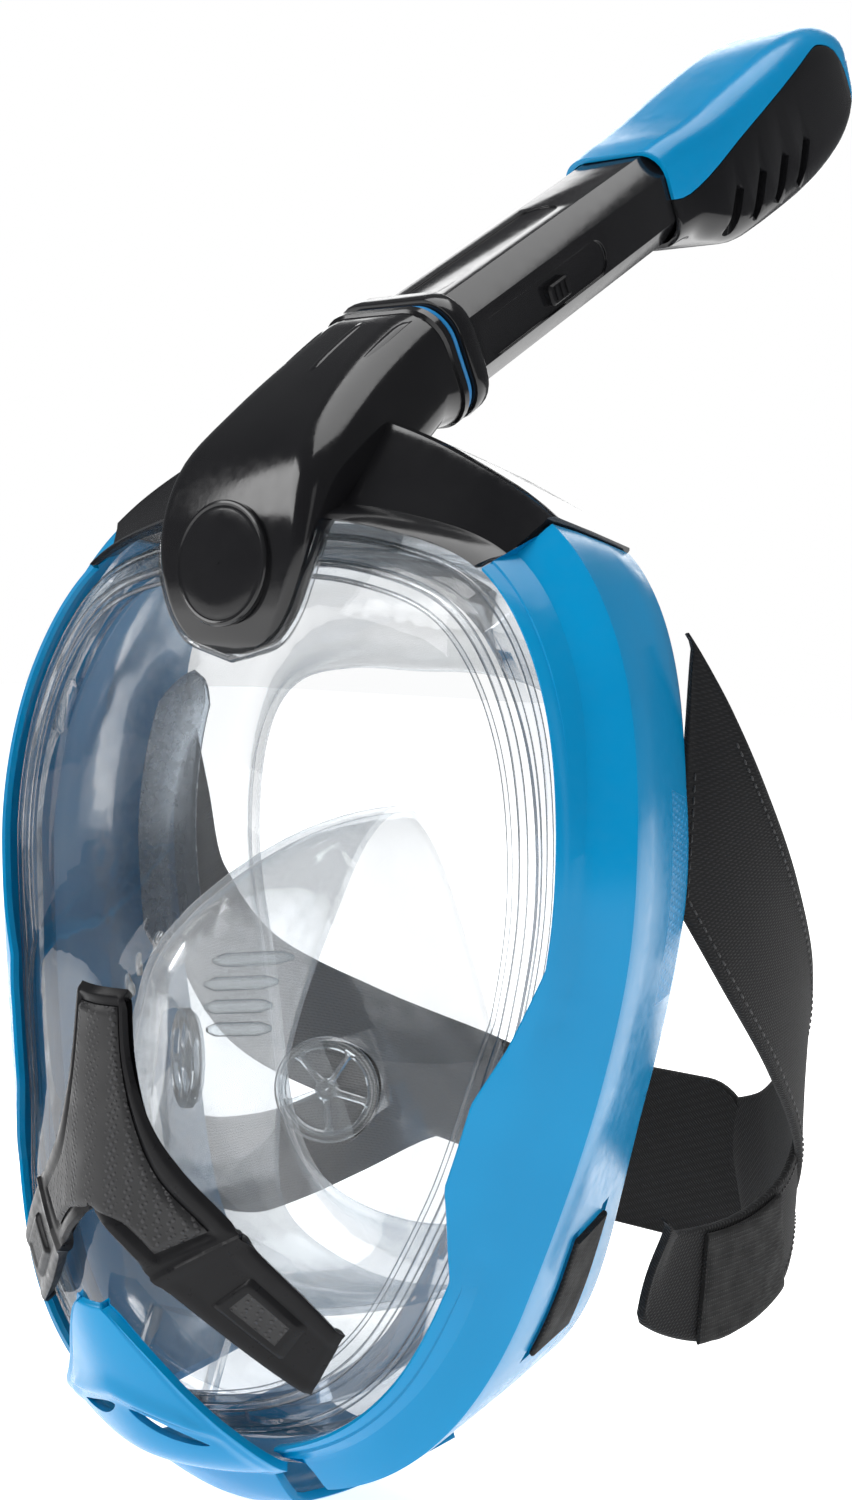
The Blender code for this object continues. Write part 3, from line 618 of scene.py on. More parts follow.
LEAN = math.radians(58.5)
SOCKET_MOUTH = (0.0, -10.6, 143.6)
AXIS = Vector((0, math.sin(LEAN), math.cos(LEAN)))
NORMAL = Vector((0, -math.cos(LEAN), math.sin(LEAN)))
TUBE_HALF_WIDTH = 17.0
TUBE_HALF_DEPTH = 13.5
TUBE_END = 177.0
HEAD_START = 116.0
GAP = 0.3
ARM_RISE = 16.0
CROWN_SECTIONS = [  # y, z, tilt in degrees, half width, half thickness
    (-70.0, 67.5, 0, 9.0, 1.8), (-70.4, 70.0, 0, 15.0, 2.6), (-70.6, 77.0, 0, 20.5, 3.6),
    (-70.0, 88.0, 0, 24.5, 4.4), (-67.0, 99.0, 12, 26.0, 6.6), (-60.0, 109.5, 28, 25.5, 10.0),
    (-46.5, 118.5, 45, 24.0, 14.0), (-31.5, 129.3, 55, 22.0, 16.2), (-19.0, 139.4, 58.5, 21.0, 15.8)]


SOCKET_BORE = (-19, 4)     # from and to, along the snorkel
CROWN_RIBS = [  # across, start along the snorkel, depth below the neck's middle line
    (-13.0, -33, 1.1), (0.0, -36, 0.0), (13.0, -33, 1.1)]
RIB_STOP = -7
RIB_SECTION = [(-1.9, 0), (-1.3, 0.6), (-0.52, 0.9), (0.52, 0.9), (1.3, 0.6), (1.9, 0), (0, -1.0)]
DISC_PLACE = (0, -75.2, 88)
DISC_PROFILE = [  # radius, height
    (0.3, -1.0), (14.0, -1.0), (15.4, -1.0), (15.5, 0.35), (15.2, 0.7), (14.7, 0.8), (14.2, 0.62),
    (13.8, 0.6), (13.2, 0.75), (9.0, 0.9), (4.0, 0.98), (0.3, 1.0)]
GASKET_PROFILE = [  # along the snorkel, half width
    (-0.4, 19.6), (-0.2, 20.3), (0.4, 20.6), (1.0, 20.3), (1.4, 19.6), (1.4, 15.9), (-0.4, 15.9)]


def along(w, across=0.0, out=0.0):
    """A point in the snorkel's own frame: along its axis, across it (+X), and out of its top."""
    return Vector(SOCKET_MOUTH) + AXIS * w + Vector((across, 0, 0)) + NORMAL * out


def tube_rings(sections, corner=4):
    return [[along(w, x, mid + y) for x, y in rounded(hw, hd, r, corner)]
            for w, mid, hw, hd, r in sections]


def resampled(rows, count):
    return [catmull(rows, k / count) for k in range(count + 1)]


def arm_section(turn, lift):
    """The crown's arm over the lens: rear edge, ridge and flange, closed on its inside."""
    outer, inner = [], []
    for d in (8, 10, 11.5, 13, 14):
        y = flange_y(turn, d)
        outer.append((d, y - lift))
        inner.append((d, y + FRAME_WALL * 0.85 - lift * 0.2))
    tuck = rear_inset(turn)
    ridge = [(tuck - lift + 0.3, REAR_Y - 0.6), (tuck * 0.5 - lift, (REAR_Y + CREASE_Y) / 2),
             (0.5 - lift, CREASE_Y + 3.4), (-lift, CREASE_Y + 1.0), (0.4 - lift, CREASE_Y - 1.4),
             (2.4 - lift * 0.94, CREASE_Y - 2.6)]
    return ([(tuck - lift + 1.0, REAR_Y)] + ridge + outer + [(14.4, outer[-1][1] + 1.0)] + inner[::-1]
            + [(FRAME_WALL + 1.4, CREASE_Y + 1.6), (tuck + FRAME_WALL, REAR_Y)])


def crown_form():
    """The lobe and neck as one skin."""
    rings = []
    for y, z, tilt, hw, ht in resampled(CROWN_SECTIONS, 40):
        a = math.radians(tilt)
        rings.append([(px, y - py * math.cos(a), z + py * math.sin(a))
                      for px, py in rounded(hw, ht, min(ht * 0.8, 13), 8)])
    return rings


def make_crown():
    end = FRAME_TOP_TURN - 0.0009
    rings = []
    for k in range(97):
        turn = -end + 2 * end * k / 96
        lift = 1.2 + ARM_RISE * max(0.0, 1 - abs(turn) / end) ** 1.4
        rings.append([at(turn, d, y) for d, y in arm_section(turn, lift)])
    piece("crown_arms", loft(rings), BLACK, smooth=24, replaces=["crown"])
    y, z, _, hw, ht = CROWN_SECTIONS[0]
    bottom = [[(px, y - py, z - drop) for px, py in rounded(hw * share, ht * share, 1.0, 8)]
              for share, drop in ((0.35, 1.5), (0.75, 0.7))]
    mouth = tube_rings([(w, 0, 20.6 + grow, 16.2 + grow, 11)
                        for w, grow in ((-4.2, 0.0), (-3.6, 0.7), (-1.6, 0.7), (-0.9, 0.1))], 8)
    body = piece("crown_body", loft(bottom + crown_form() + mouth), BLACK, smooth=24,
                 replaces=["crown"])
    boolean(body, loft(tube_rings([(w, 0, 15.4, 12.1, 8) for w in SOCKET_BORE], 6)), 24)
    ribs = bmesh.new()
    for across, start, sink in CROWN_RIBS:
        rings = []
        for k in range(13):
            f = k / 12
            w = start + (RIB_STOP - start) * f
            high = max(0.0, min(1.0, 5 * f, 5 * (1 - f))) ** 0.5
            lie = crown_top(w) - sink
            rings.append([along(w, across + x, lie + y * high - 0.6) for x, y in RIB_SECTION])
        loft(rings, bm=ribs)
    piece("crown_ribs", ribs, BLACK, smooth=40, replaces=["crown"])
    side = [catmull(CROWN_SECTIONS, 0.02 + 0.44 * k / 60) for k in range(61)]
    path = [(-hw - 0.8, y, z) for y, z, _, hw, _ in reversed(side)]
    path += [(0.0, side[0][0], side[0][1] - 2.6)]
    path += [(hw + 0.8, y, z) for y, z, _, hw, _ in side]
    section = [(1.44 * math.cos(a), 2.3 * math.sin(a)) for a in (math.tau * j / 10 for j in range(10))]
    piece("crown_clear_edge", tube_path(path, section, (0, 1, 0)), RIM, smooth=60,
          replaces=["crown"])
    disc = lathe(DISC_PROFILE, 72)
    disc.transform(placed((0, -1, 0.04), DISC_PLACE))
    piece("crown_disc_face", disc, BLACK, smooth=30, replaces=["crown_disc"])


def crown_top(w):
    """How far the neck's top stands out of the snorkel's axis at a place along it."""
    tops = []
    for y, z, tilt, _, ht in resampled(CROWN_SECTIONS, 120)[30:] + [(*SOCKET_MOUTH[1:], 58.5, 0, 16.5)]:
        a = math.radians(tilt)
        top = Vector((0, y - ht * math.cos(a), z + ht * math.sin(a))) - Vector(SOCKET_MOUTH)
        tops.append((top.dot(AXIS), top.dot(NORMAL)))
    for (w0, h0), (w1, h1) in zip(tops, tops[1:]):
        if w0 <= w <= w1:
            return h0 + (h1 - h0) * (w - w0) / max(w1 - w0, 0.001)
    return 16.2


def tube_path(path, section, up):
    """A section swept along points; its first axis lies across the path, its second along up."""
    rings = []
    for k, point in enumerate(path):
        ahead = Vector(path[min(k + 1, len(path) - 1)]) - Vector(path[max(k - 1, 0)])
        ahead.normalize()
        lift = Vector(up)
        lift = (lift - ahead * lift.dot(ahead)).normalized()
        side = ahead.cross(lift)
        rings.append([Vector(point) + side * u + lift * v for u, v in section])
    return loft(rings)


def make_gasket():
    rings = [[along(w, x * r, y * r) for w, r in GASKET_PROFILE]
             for x, y in rounded(1.0, 0.78, 0.5, 10)]
    piece("socket_gasket_ring", loft(rings, closed_path=True), BLUE_RUBBER, smooth=30,
          replaces=["socket_gasket"])


def chamfered(w, d, c):
    """An eight-sided section with flat chamfers, from its half width, half depth and cut."""
    return [(w, d - c), (w - c, d), (c - w, d), (-w, d - c), (-w, c - d), (c - w, -d), (w - c, -d),
            (w, c - d)]


PANEL_ALONG = 47           # the middle of the barrel's sunk panels
PANEL_SINK = 0.8
AIRWAY_HALF_WIDTH = 5.5
AIRWAY_HALF_DEPTH = 8.8
DIVIDER = 2.5              # the wall between the two air passages
CATCH_ALONG = 52
CATCH_OUT = -2
COLLAR = [  # along, growth of the section
    (8.9, -4.6), (8.8, -1.6), (8.3, -0.4), (7.4, 0.1), (3.0, 0.35), (2.1, 0.1), (1.75, -0.6)]
SPIGOT = [  # along, growth of the section: two ring grooves
    (1.9, 0.0), (-2.5, 0.0), (-3.0, -0.9), (-4.4, -0.9), (-4.9, 0.0), (-12.0, 0.0), (-12.5, -0.9),
    (-13.9, -0.9), (-14.4, 0.0), (-17.0, -0.1), (-18.0, -1.0)]


def make_tube():
    hw, hd = TUBE_HALF_WIDTH, TUBE_HALF_DEPTH
    rings = [[along(w, x, y) for x, y in chamfered(hw, hd, 6.5)]
             for w in (8.4, 14, 40, 80, HEAD_START - 2, 120, TUBE_END)]
    barrel = piece("snorkel_barrel", loft(rings), BLACK, "snorkel", 24,
                   ["snorkel_tube"])
    for side in (1, -1):
        panel = loft([[along(w, side * x, y) for w, y in rounded_at(PANEL_ALONG, -1.5, 31, 5.2, 5.0)]
                      for x in (hw - PANEL_SINK, hw + 3)])
        boolean(barrel, panel, 24)
    groove = loft([[along(w, x, hd + lift) for w, x in rounded_at(PANEL_ALONG, 0, 33, 6.4, 6.0)]
                   for lift in (-0.5, 3)])
    boolean(barrel, groove, 24)
    for side in (1, -1):
        boolean(barrel, airway(side, (0.0, TUBE_END + 1)), 24)
    bevel(barrel, 0.9, 3, 20, 24)
    rings = tube_rings([(w, 0, 21.3 + grow, 16.9 + grow, 11 + grow * 0.5) for w, grow in COLLAR], 8)
    collar = piece("snorkel_collar", loft(rings), BLACK, "snorkel", 30,
                   ["snorkel_tube"])
    rings = tube_rings([(w, 0, 15 + grow, 11.7 + grow, 7.6) for w, grow in SPIGOT], 6)
    spigot = piece("snorkel_spigot", loft(rings), INNER_BLACK, "snorkel", 30,
                   ["snorkel_tube"])
    for side in (1, -1):
        for obj, ends in ((spigot, (-19, 3)), (collar, (0, 12))):
            boolean(obj, airway(side, ends), 30)


def airway(side, ends):
    """One of the snorkel's two air passages, between two places along it."""
    middle = side * (AIRWAY_HALF_WIDTH + DIVIDER / 2)
    section = rounded(AIRWAY_HALF_WIDTH, AIRWAY_HALF_DEPTH, 5, 5)
    return loft([[along(w, middle + x, y) for x, y in section] for w in ends])


def rounded_at(middle, mid_y, half, half_y, radius):
    return [(middle + u, mid_y + v) for u, v in rounded(half, half_y, radius, 8)]


def make_latch():
    """The catch: a pushed button with three grip bars, in the side panel's middle."""
    hw = TUBE_HALF_WIDTH
    bm = loft([[along(CATCH_ALONG + w, x, CATCH_OUT + y) for w, y in rounded(a, b, 1.4, 5)]
               for x, a, b in ((hw - 2.0, 5.2, 2.9), (hw + 0.7, 5.2, 2.9), (hw + 1.25, 4.6, 2.4))])
    for k in (-1, 0, 1):
        loft([[along(CATCH_ALONG + 2.6 * k + w, x, CATCH_OUT + y) for w, y in rounded(0.55, 2.1, 0.5, 3)]
              for x in (hw + 1.0, hw + 1.75)], bm=bm)
    piece("snorkel_catch", bm, SATIN, "latch", 30, ["snorkel_latch"])


HEAD_SECTIONS = [  # along, middle out, half width, half depth, corner radius
    (HEAD_START, 0, 18.4, 15.0, 8), (126, -0.3, 19.2, 15.8, 8), (136, -3, 20.5, 18.5, 9),
    (148, -5, 21.5, 21, 10), (172, -4.5, 22.5, 22.5, 11), (197, -3.5, 23, 23, 12),
    (217, -2.5, 22, 21, 12), (231, -1.5, 19, 17, 11), (240, -0.5, 14, 11, 8), (245, 0, 8, 6, 5)]
CAP_EDGE = [(108, 3.5), (124, -2), (158, 5), (203, 13), (216, 12.5), (224, 6), (229, -6), (231, -40),
            (260, -40), (260, 40), (108, 40)]
LOUVRES = 4
LOUVRE_START = 143         # along the snorkel
LOUVRE_PITCH = 14
LOUVRE_TILT = math.radians(-38)


def soft_edge():
    """The cap's edge with its corners eased, as (along, out)."""
    line = CAP_EDGE[:8]
    return [catmull(line, k / 42) for k in range(43)] + CAP_EDGE[8:]


def head_skin():
    rows = resampled(HEAD_SECTIONS, 54)
    return loft(tube_rings([(w, m, hw, hd, min(r, hw - 0.5, hd - 0.5)) for w, m, hw, hd, r in rows], 8))


def make_head():
    hw, hd = TUBE_HALF_WIDTH + GAP, TUBE_HALF_DEPTH + GAP

    def hollow(obj):
        for sections in (
                [(HEAD_START - 5, 0, hw, hd, 8), (TUBE_END + 2, 0, hw, hd, 8)],
                [(TUBE_END + 1, -4, 18.5, 19, 9), (213, -2.5, 18.5, 18, 9), (231, -1.5, 14, 12.5, 8)]):
            boolean(obj, loft(tube_rings(sections, 6)), 28)

    housing = piece("snorkel_head_housing", head_skin(), BLACK, "snorkel", 28,
                    ["head_housing"])
    hollow(housing)
    edge = soft_edge()
    lower = [(w - GAP * (w > 157), n - GAP) for w, n in edge[:43]] + edge[43:]
    boolean(housing, loft([[along(w, x, n) for w, n in lower] for x in (-45, 45)]), 28)
    turn = Matrix((Vector((1, 0, 0)), NORMAL, AXIS)).transposed().to_4x4()
    tilt = Matrix.Rotation(LOUVRE_TILT, 4, "X")
    for k in range(LOUVRES):
        for side in (1, -1):
            middle = along(LOUVRE_START + LOUVRE_PITCH * k, side * 25, -15)
            bm = loft([[(u, y, v) for u, v in rounded(8, 2.1, 1.9, 5)] for y in (-7.5, 7.5)])
            bm.transform(Matrix.Translation(middle * MM) @ tilt @ turn)
            boolean(housing, bm, 28)
    bevel(housing, 0.5, 2, 30, 28)
    cap = piece("snorkel_head_cap", head_skin(), BLUE, "snorkel", 28, ["head_cap"])
    hollow(cap)
    boolean(cap, loft([[along(w, x, n) for w, n in edge] for x in (-45, 45)]), 28, "INTERSECT")
    notch = loft([[along(w, x, n) for w, n in ((229, 0.5), (243, 2.2), (243, 3.6), (229, 1.6))]
                  for x in (9, 26)])
    boolean(cap, notch, 28)
    bevel(cap, 0.6, 3, 30, 28)


# ---------------------------------------------------------------- trim and chin cap

TRIM_INNER = [(0, -12), (0, -30), (0, -48), (0, -63), (10, -73), (23, -85), (36, -96), (47, -104)]
TRIM_OUTER = [(8, -12), (10, -29), (15, -43), (22, -53), (31, -62), (40, -71), (49, -80), (56, -88)]
CROTCH = 3 / 7             # where along the trim its two branches part
PAD_LIFTS = (4.9, 6.3, 6.7, 6.2)  # a grip pad's height over the lens, from its edge inwards


def strip_point(t, u):
    a, b = catmull(TRIM_INNER, t), catmull(TRIM_OUTER, t)
    return a[0] + (b[0] - a[0]) * u, a[1] + (b[1] - a[1]) * u


def off_lens(x, z, lift):
    return (x, surface_y(x, z) - lift, z)


def grid(rows):
    """An open sheet through rows of points in millimetres."""
    return loft(rows, closed_ring=False, caps=False)


def both_sides(bm):
    """Adds the mirrored half and welds the two along the middle."""
    join(bm, mirrored(bm))
    bmesh.ops.remove_doubles(bm, verts=[v for v in bm.verts if abs(v.co.x) < 0.0001], dist=0.00005)
    return bm


def trim_lift(t, u):
    """Height of the trim's face over the lens: a raised lip round a sunk bed."""
    out = smooth(0.76, 0.86, u) * (1 - smooth(0.95, 1.0, u))
    inner = smooth(CROTCH + 0.01, CROTCH + 0.08, t)
    near = (1 - smooth(0.12, 0.22, u)) * smooth(0.0, 0.05, u) * inner
    ends = max(1 - smooth(0.02, 0.05, t), smooth(0.60, 0.63, t) * (1 - smooth(0.66, 0.69, t)))
    lip = max(out, near, ends)
    bed = 1.0 if t < 0.64 else 0.0
    round_off = 1.5 * (1 - smooth(0.0, 0.03, t)) + 1.2 * smooth(0.97, 1.0, t)
    return 5.3 - 0.9 * bed + lip * (1.2 if t < 0.66 else 0.5) - round_off


def make_trim():
    rows = [[off_lens(*strip_point(k / 110, j / 22), trim_lift(k / 110, j / 22)) for j in range(23)]
            for k in range(111)]
    trim = piece("lens_trim", both_sides(grid(rows)), SATIN, smooth=45,
                 replaces=["front_trim"])
    solidify(trim, 3.2, 45)
    bevel(trim, 0.7, 3, 50, 45)
    rows = []
    for k in range(61):
        t = 0.045 + 0.555 * k / 60
        row = []
        for j in range(13):
            u = j / 12
            low = smooth(CROTCH + 0.0, CROTCH + 0.09, t) * 0.21
            spot = strip_point(t, low + (0.77 - low) * u)
            edge = 1.0 if (0 < k < 60 and (0 < j < 12 or (j == 0 and low < 0.01))) else 0.0
            row.append(off_lens(*spot, 4.9 + 0.85 * edge))
        rows.append(row)
    inlay = piece("trim_grip_inlay", both_sides(grid(rows)), GRIP, smooth=60,
                  replaces=["trim_inlay"])
    solidify(inlay, 0.8, 60)
    for name, side in SIDES:
        rows = []
        for k in range(19):
            row = []
            for j in range(13):
                x, z = strip_point(0.735 + 0.17 * k / 18, 0.2 + 0.58 * j / 12)
                rim = min(k, 18 - k, j, 12 - j)
                row.append(off_lens(side * x, z, PAD_LIFTS[min(rim, 3)]))
            rows.append(row)
        pad = piece(f"trim_grip_pad_{name}", grid(rows), [GRIP, SATIN], smooth=60,
                    replaces=[f"trim_pad_{name}"])
        for polygon in pad.data.polygons:
            row, col = divmod(polygon.index, 12)
            if min(row, 17 - row, col, 11 - col) < 3:
                polygon.material_index = 1
        solidify(pad, 0.8, 60)


CAP_ROWS = [  # share of the way from the lens's middle to its rim, half width
    (0.60, 3.5), (0.63, 7.5), (0.68, 12), (0.74, 17), (0.80, 22), (0.86, 28), (0.91, 34), (0.945, 38),
    (0.965, 40), (0.98, 41), (0.99, 41.5)]
CAP_TURN_PER_RADIAN = 0.178
CAP_LIFT = 6.4
CAP_DROP = 7.0
CAP_UNDER = [(8, -48.5), (1.5, -44.5), (-5, -38), (-9, -29), (-8, -17), (-4, -6)]  # (inset, y)
CAP_UNDER_TURN = 0.036


def cap_point(t, u, lift):
    """A point on the chin cap; t runs from its apex to its hem, u across from -1 to 1."""
    s, half = catmull(CAP_ROWS, t)
    turn = 0.5 - math.atan2(half * u, (CENTER_Z - OUTLINE[-1][1]) * s) * CAP_TURN_PER_RADIAN
    x, z = rim_point(turn, s)
    return (x, surface_y(x, z) - lift, z - CAP_DROP)


def under_point(t, u, lift):
    """A point on the cap's underside, from behind its hem to the rear of the chin."""
    distance, y = catmull(CAP_UNDER, t)
    round_in = 1 - 0.7 * u * u if distance < 0 else 1.0
    return at(0.5 - u * CAP_UNDER_TURN, distance * round_in - lift, y)


def make_chin_cap():
    rows = []
    for k in range(91):
        t = k / 90
        row = []
        for j in range(81):
            u = 2 * j / 80 - 1
            swoosh = 0.40 + 0.16 * abs(u) ** 1.5
            lip = 1.5 * math.exp(-((t - swoosh) / 0.045) ** 2) * (1 - smooth(0.72, 0.9, abs(u)))
            under = 1.3 * smooth(swoosh, swoosh + 0.06, t) * (1 - smooth(0.75, 0.95, abs(u)))
            shoulder = 0.8 * math.exp(-((abs(u) - 0.93) / 0.03) ** 2)
            round_off = 1.4 * (1 - smooth(0.0, 0.05, t))
            row.append(cap_point(t, u, CAP_LIFT + lip - under - shoulder * 0.5 - round_off))
        rows.append(row)
    for k in range(41):
        rows.append([under_point(k / 40, 2 * j / 80 - 1, 2.0) for j in range(81)])
    cap = piece("chin_cap_shell", grid(rows), BLUE, smooth=45,
                replaces=["chin_cap"])
    solidify(cap, 2.2, 45)
    for side in (1, -1):
        upper, lower = [], []  # the two edges of one vent
        for k in range(17):
            f = k / 16
            t, u = 0.475 + 0.13 * f, side * (0.10 + 0.58 * f)
            wide = 0.034 * math.sin(math.pi * f) ** 0.7 + 0.002
            upper.append((t - wide, u))
            lower.append((t + wide, u))
        vent = upper + lower[::-1]
        boolean(cap, loft([[cap_point(t, u, lift) for t, u in vent] for lift in (14, -3)]), 45)
    bevel(cap, 0.45, 2, 50, 45)


# ---------------------------------------------------------------- skirt, pocket and valves

SKIRT_FRONT = [(6.6, -40.7), (20, -41.2), (20, -39.2), (22.5, -36), (22.5, -23), (22.5, -10), (26, 3),
               (32, 9), (41, 8.5), (50, -1)]
SKIRT_BACK = [(51.5, 0.6), (42, 10.9), (31, 11.4), (24, 4.6), (20.5, -8), (20.5, -21), (20.5, -34),
              (17, -38.6), (6.2, -38.6)]


TEMPLE_START = 0.150       # where a temple pad starts round the mask, and how far it runs
TEMPLE_SPAN = 0.135


def skirt_section():
    front = [catmull(SKIRT_FRONT, k / 30) for k in range(31)]
    lip = [(50.6, -1.1), (51.4, -0.5)]
    back = [catmull(SKIRT_BACK, k / 30) for k in range(31)]
    return front + lip + back


def make_skirt():
    section = skirt_section()
    rings = []
    for k in range(AROUND):
        turn = k / AROUND
        rib = 0.5 * math.cos(math.tau * turn * 10)
        rings.append([at(turn, d + (rib if 24 < d < 48 else 0) * 0.4, y) for d, y in section])
    piece("face_skirt_skin", loft(rings, closed_path=True), SKIN, smooth=60,
          replaces=["face_skirt"])
    for name, side in SIDES:
        rings = []
        for k in range(41):
            f = k / 40
            ease = min(1.0, 8 * f, 8 * (1 - f)) ** 0.5 if 0 < f < 1 else 0.05
            section = rounded(9.0 * ease, 1.1, 1.0, 4)
            turn = TEMPLE_START + TEMPLE_SPAN * f
            rings.append(on_side(side, [at(turn, 26.2 + v, -10 + u) for u, v in section]))
        piece(f"temple_pad_{name}", loft(rings), PAD_SKIN, smooth=50,
              replaces=["face_skirt"])


POCKET = [(0, 26), (13, 17), (25, -6), (38, -38), (44, -68), (38, -96), (0, -106)]
POCKET_CENTER_Z = -50
POCKET_RIM_Y = -4.0
POCKET_BACK = 15.0
POCKET_SHARES = [1.0, 0.997, 0.99, 0.98, 0.965, 0.945, 0.92, 0.88, 0.83, 0.77, 0.70, 0.62, 0.53, 0.44,
                 0.35, 0.26, 0.17, 0.08]
POCKET_BARS = 4
INLET_RADIUS = 13.0
PURGE_RADIUS = 10.5
PURGE_PORT = 11.1          # the valve's bore through the lens
POCKET_PORT = 9.0          # and through the pocket
PURGE_PLACE = (0.0, -84.5, -116.5)
PURGE_AXIS = (0.0, -0.35, -0.94)


def pocket_y(x, z, s):
    edge = max(0.0, 1 - s ** 7) ** 0.5
    front = WINDOW_Y + POCKET_BACK - snout(x, z)
    return POCKET_RIM_Y + (front - POCKET_RIM_Y) * edge


def inlet_place(side):
    return (side * 25.0, -58.5, -40.0), (side * 0.5, -0.866, 0.0)


def drill(radius, depth, place, direction):
    bm = bmesh.new()
    bmesh.ops.create_cone(bm, cap_ends=True, segments=48, radius1=radius * MM,
                          radius2=radius * MM, depth=depth * MM)
    bm.transform(placed(direction, place))
    return bm


def make_pocket():
    rings = []
    for s in POCKET_SHARES:
        ring = []
        for k in range(160):
            x, z = half_curve(POCKET, k / 160)
            x, z = x * s, POCKET_CENTER_Z + (z - POCKET_CENTER_Z) * s
            ring.append((x, pocket_y(x, z, s), z))
        rings.append(ring)
    pocket = piece("orinasal_pocket_skin", dome(rings), SKIN, smooth=60,
                   replaces=["orinasal_pocket"])
    solidify(pocket, 1.8, 60)
    for side in (1, -1):
        boolean(pocket, drill(INLET_RADIUS + 0.3, 14, *inlet_place(side)), 60)
    boolean(pocket, drill(POCKET_PORT, 40, PURGE_PLACE, PURGE_AXIS), 60)
    bm = bmesh.new()
    for side in (1, -1):
        for k in range(POCKET_BARS):
            rings = []
            for m in range(13):
                f = m / 12
                x = 16.5 + 1.2 * k - 6.5 + 13 * f
                z = -7.5 - 5.2 * k + 1.2 * f
                ease = max(0.15, min(1.0, 6 * f, 6 * (1 - f))) ** 0.5
                s = max(0.0, min(1.0, math.hypot(x, z - POCKET_CENTER_Z) / 60))
                y = pocket_y(x, z, s)
                rings.append([(side * x, y - 1.0 - v, z + u)
                              for u, v in rounded(1.7 * ease, 1.0 * ease, 0.8 * ease, 4)])
            loft(rings, bm=bm)
    piece("pocket_bars", bm, VALVE, smooth=50, replaces=["orinasal_pocket"])


def wheel(name, radius, place, direction, spokes, node):
    """A valve seat: a double rim, a domed hub and spokes with a raised spine."""
    bm = lathe([(radius - 2.6, -1.0), (radius - 2.6, 0.9), (radius - 2.2, 1.2), (radius - 1.7, 0.7),
                (radius - 1.2, 0.7), (radius - 0.8, 1.2), (radius - 0.2, 1.2), (radius, 0.9),
                (radius, -1.0), (radius - 0.3, -1.2), (radius - 2.3, -1.2)], 72)
    lathe([(0.2, -1.1), (0.2, 1.5), (1.2, 1.45), (2.2, 1.2), (2.7, 0.7), (2.7, -1.1)], 36, bm=bm)
    for k in range(spokes):
        spoke = loft([[(r, wide * u, v) for u, v in ((1, -0.8), (1, 0.5), (0.4, 1.0), (-0.4, 1.0),
                                                     (-1, 0.5), (-1, -0.8))]
                      for r, wide in ((2.0, 1.2), (3.4, 0.8), (radius - 3.6, 0.75), (radius - 2.0, 1.4))])
        spoke.transform(Matrix.Rotation(math.tau * k / spokes + 0.3, 4, "Z"))
        join(bm, spoke)
    bm.transform(placed(direction, place))
    piece(name, bm, VALVE, smooth=35, replaces=[node])


def flap(name, radius, offset, place, direction, body, node):
    """A thin valve membrane with a beaded rim and a centre button."""
    bm = lathe([(0.2, -0.4), (0.2, 0.55), (1.4, 0.5), (1.7, 0.25), (radius - 1.2, 0.15),
                (radius - 0.5, 0.35), (radius, 0.1), (radius, -0.3), (radius - 0.5, -0.4)], 64)
    shift = Vector(place) + Vector(direction).normalized() * offset
    bm.transform(placed(direction, shift))
    piece(name, bm, SKIN, body, 50, [node])


def make_valves():
    for label, side in SIDES:
        place, way = inlet_place(side)
        wheel(f"inlet_wheel_{label}", INLET_RADIUS, place, way, 5, f"inlet_valve_seat_{label}")
        flap(f"inlet_flap_{label}", INLET_RADIUS - 1.2, -2.0, place, way, f"inlet_{label}",
             f"inlet_membrane_{label}")
    wheel("purge_wheel", PURGE_RADIUS, PURGE_PLACE, PURGE_AXIS, 4, "purge_valve_seat")
    flap("purge_flap", PURGE_RADIUS - 1.0, 2.0, PURGE_PLACE, PURGE_AXIS, "purge", "purge_membrane")


# ---------------------------------------------------------------- harness

UPPER_ARM_LEFT = [(78, -20, 69), (86.5, -8, 49), (92.5, 7, 25), (93.5, 28, 0), (88, 56, -26),
                  (75, 86, -53), (55, 108, -77), (36, 118, -86)]
UPPER_ARM_RIGHT = [(-78, -20, 67), (-87, -9, 43), (-92.5, 2, 16), (-93, 11, -12), (-89, 32, -40),
                   (-77, 67, -60), (-56, 101, -76), (-36, 117, -86)]
LOWER_ARM = [(84.5, -13, -82), (82, 3, -91), (83, 27, -94), (83, 48, -93), (80, 70, -88),
             (72.5, 89, -80), (64, 101, -76)]
STRAP_THICK = 2.4
STRAP_FRONT_Y = REAR_Y + 0.7
HEAD_MIDDLE_Y = 42
UPPER_WIDTH = 38.0
LOWER_WIDTH = 32.0
SEAM_INSET = 3.2
SEAM_LIFT = 1.3
PAD_MIDDLE = (0, 117, -88)
PAD_SECTIONS = [  # y from the pad's front face, growth of the section
    (0.3, -1.4), (0.0, -0.6), (0.6, -0.1), (1.6, 0.0), (2.6, -0.1), (3.2, -0.6), (3.3, -2.2),
    (2.7, -4.0), (3.1, -6.0), (3.2, -14.0)]


def strap_frame(route, t):
    """Place, width direction and outward direction at a share of a strap's route."""
    point = Vector(catmull(route, t))
    ahead = Vector(catmull(route, min(t + 0.01, 1))) - Vector(catmull(route, max(t - 0.01, 0)))
    ahead.normalize()
    out = Vector((point.x, point.y - HEAD_MIDDLE_Y, 0))
    out = (out - ahead * out.dot(ahead)).normalized()
    return point, ahead.cross(out), out


def strap_spread(route, t, width, side):
    """As strap_frame, with the width running forwards, and how far the strap reaches to each edge."""
    point, across, out = strap_frame(route, t)
    across = across * side
    front = width / 2
    if across.y < -0.2:
        front = max(0.6 - width / 2, min(front, (point.y - STRAP_FRONT_Y) / -across.y))
    return point, across, out, front


def facing(route):
    return 1 if strap_frame(route, 0.0)[1].y < 0 else -1


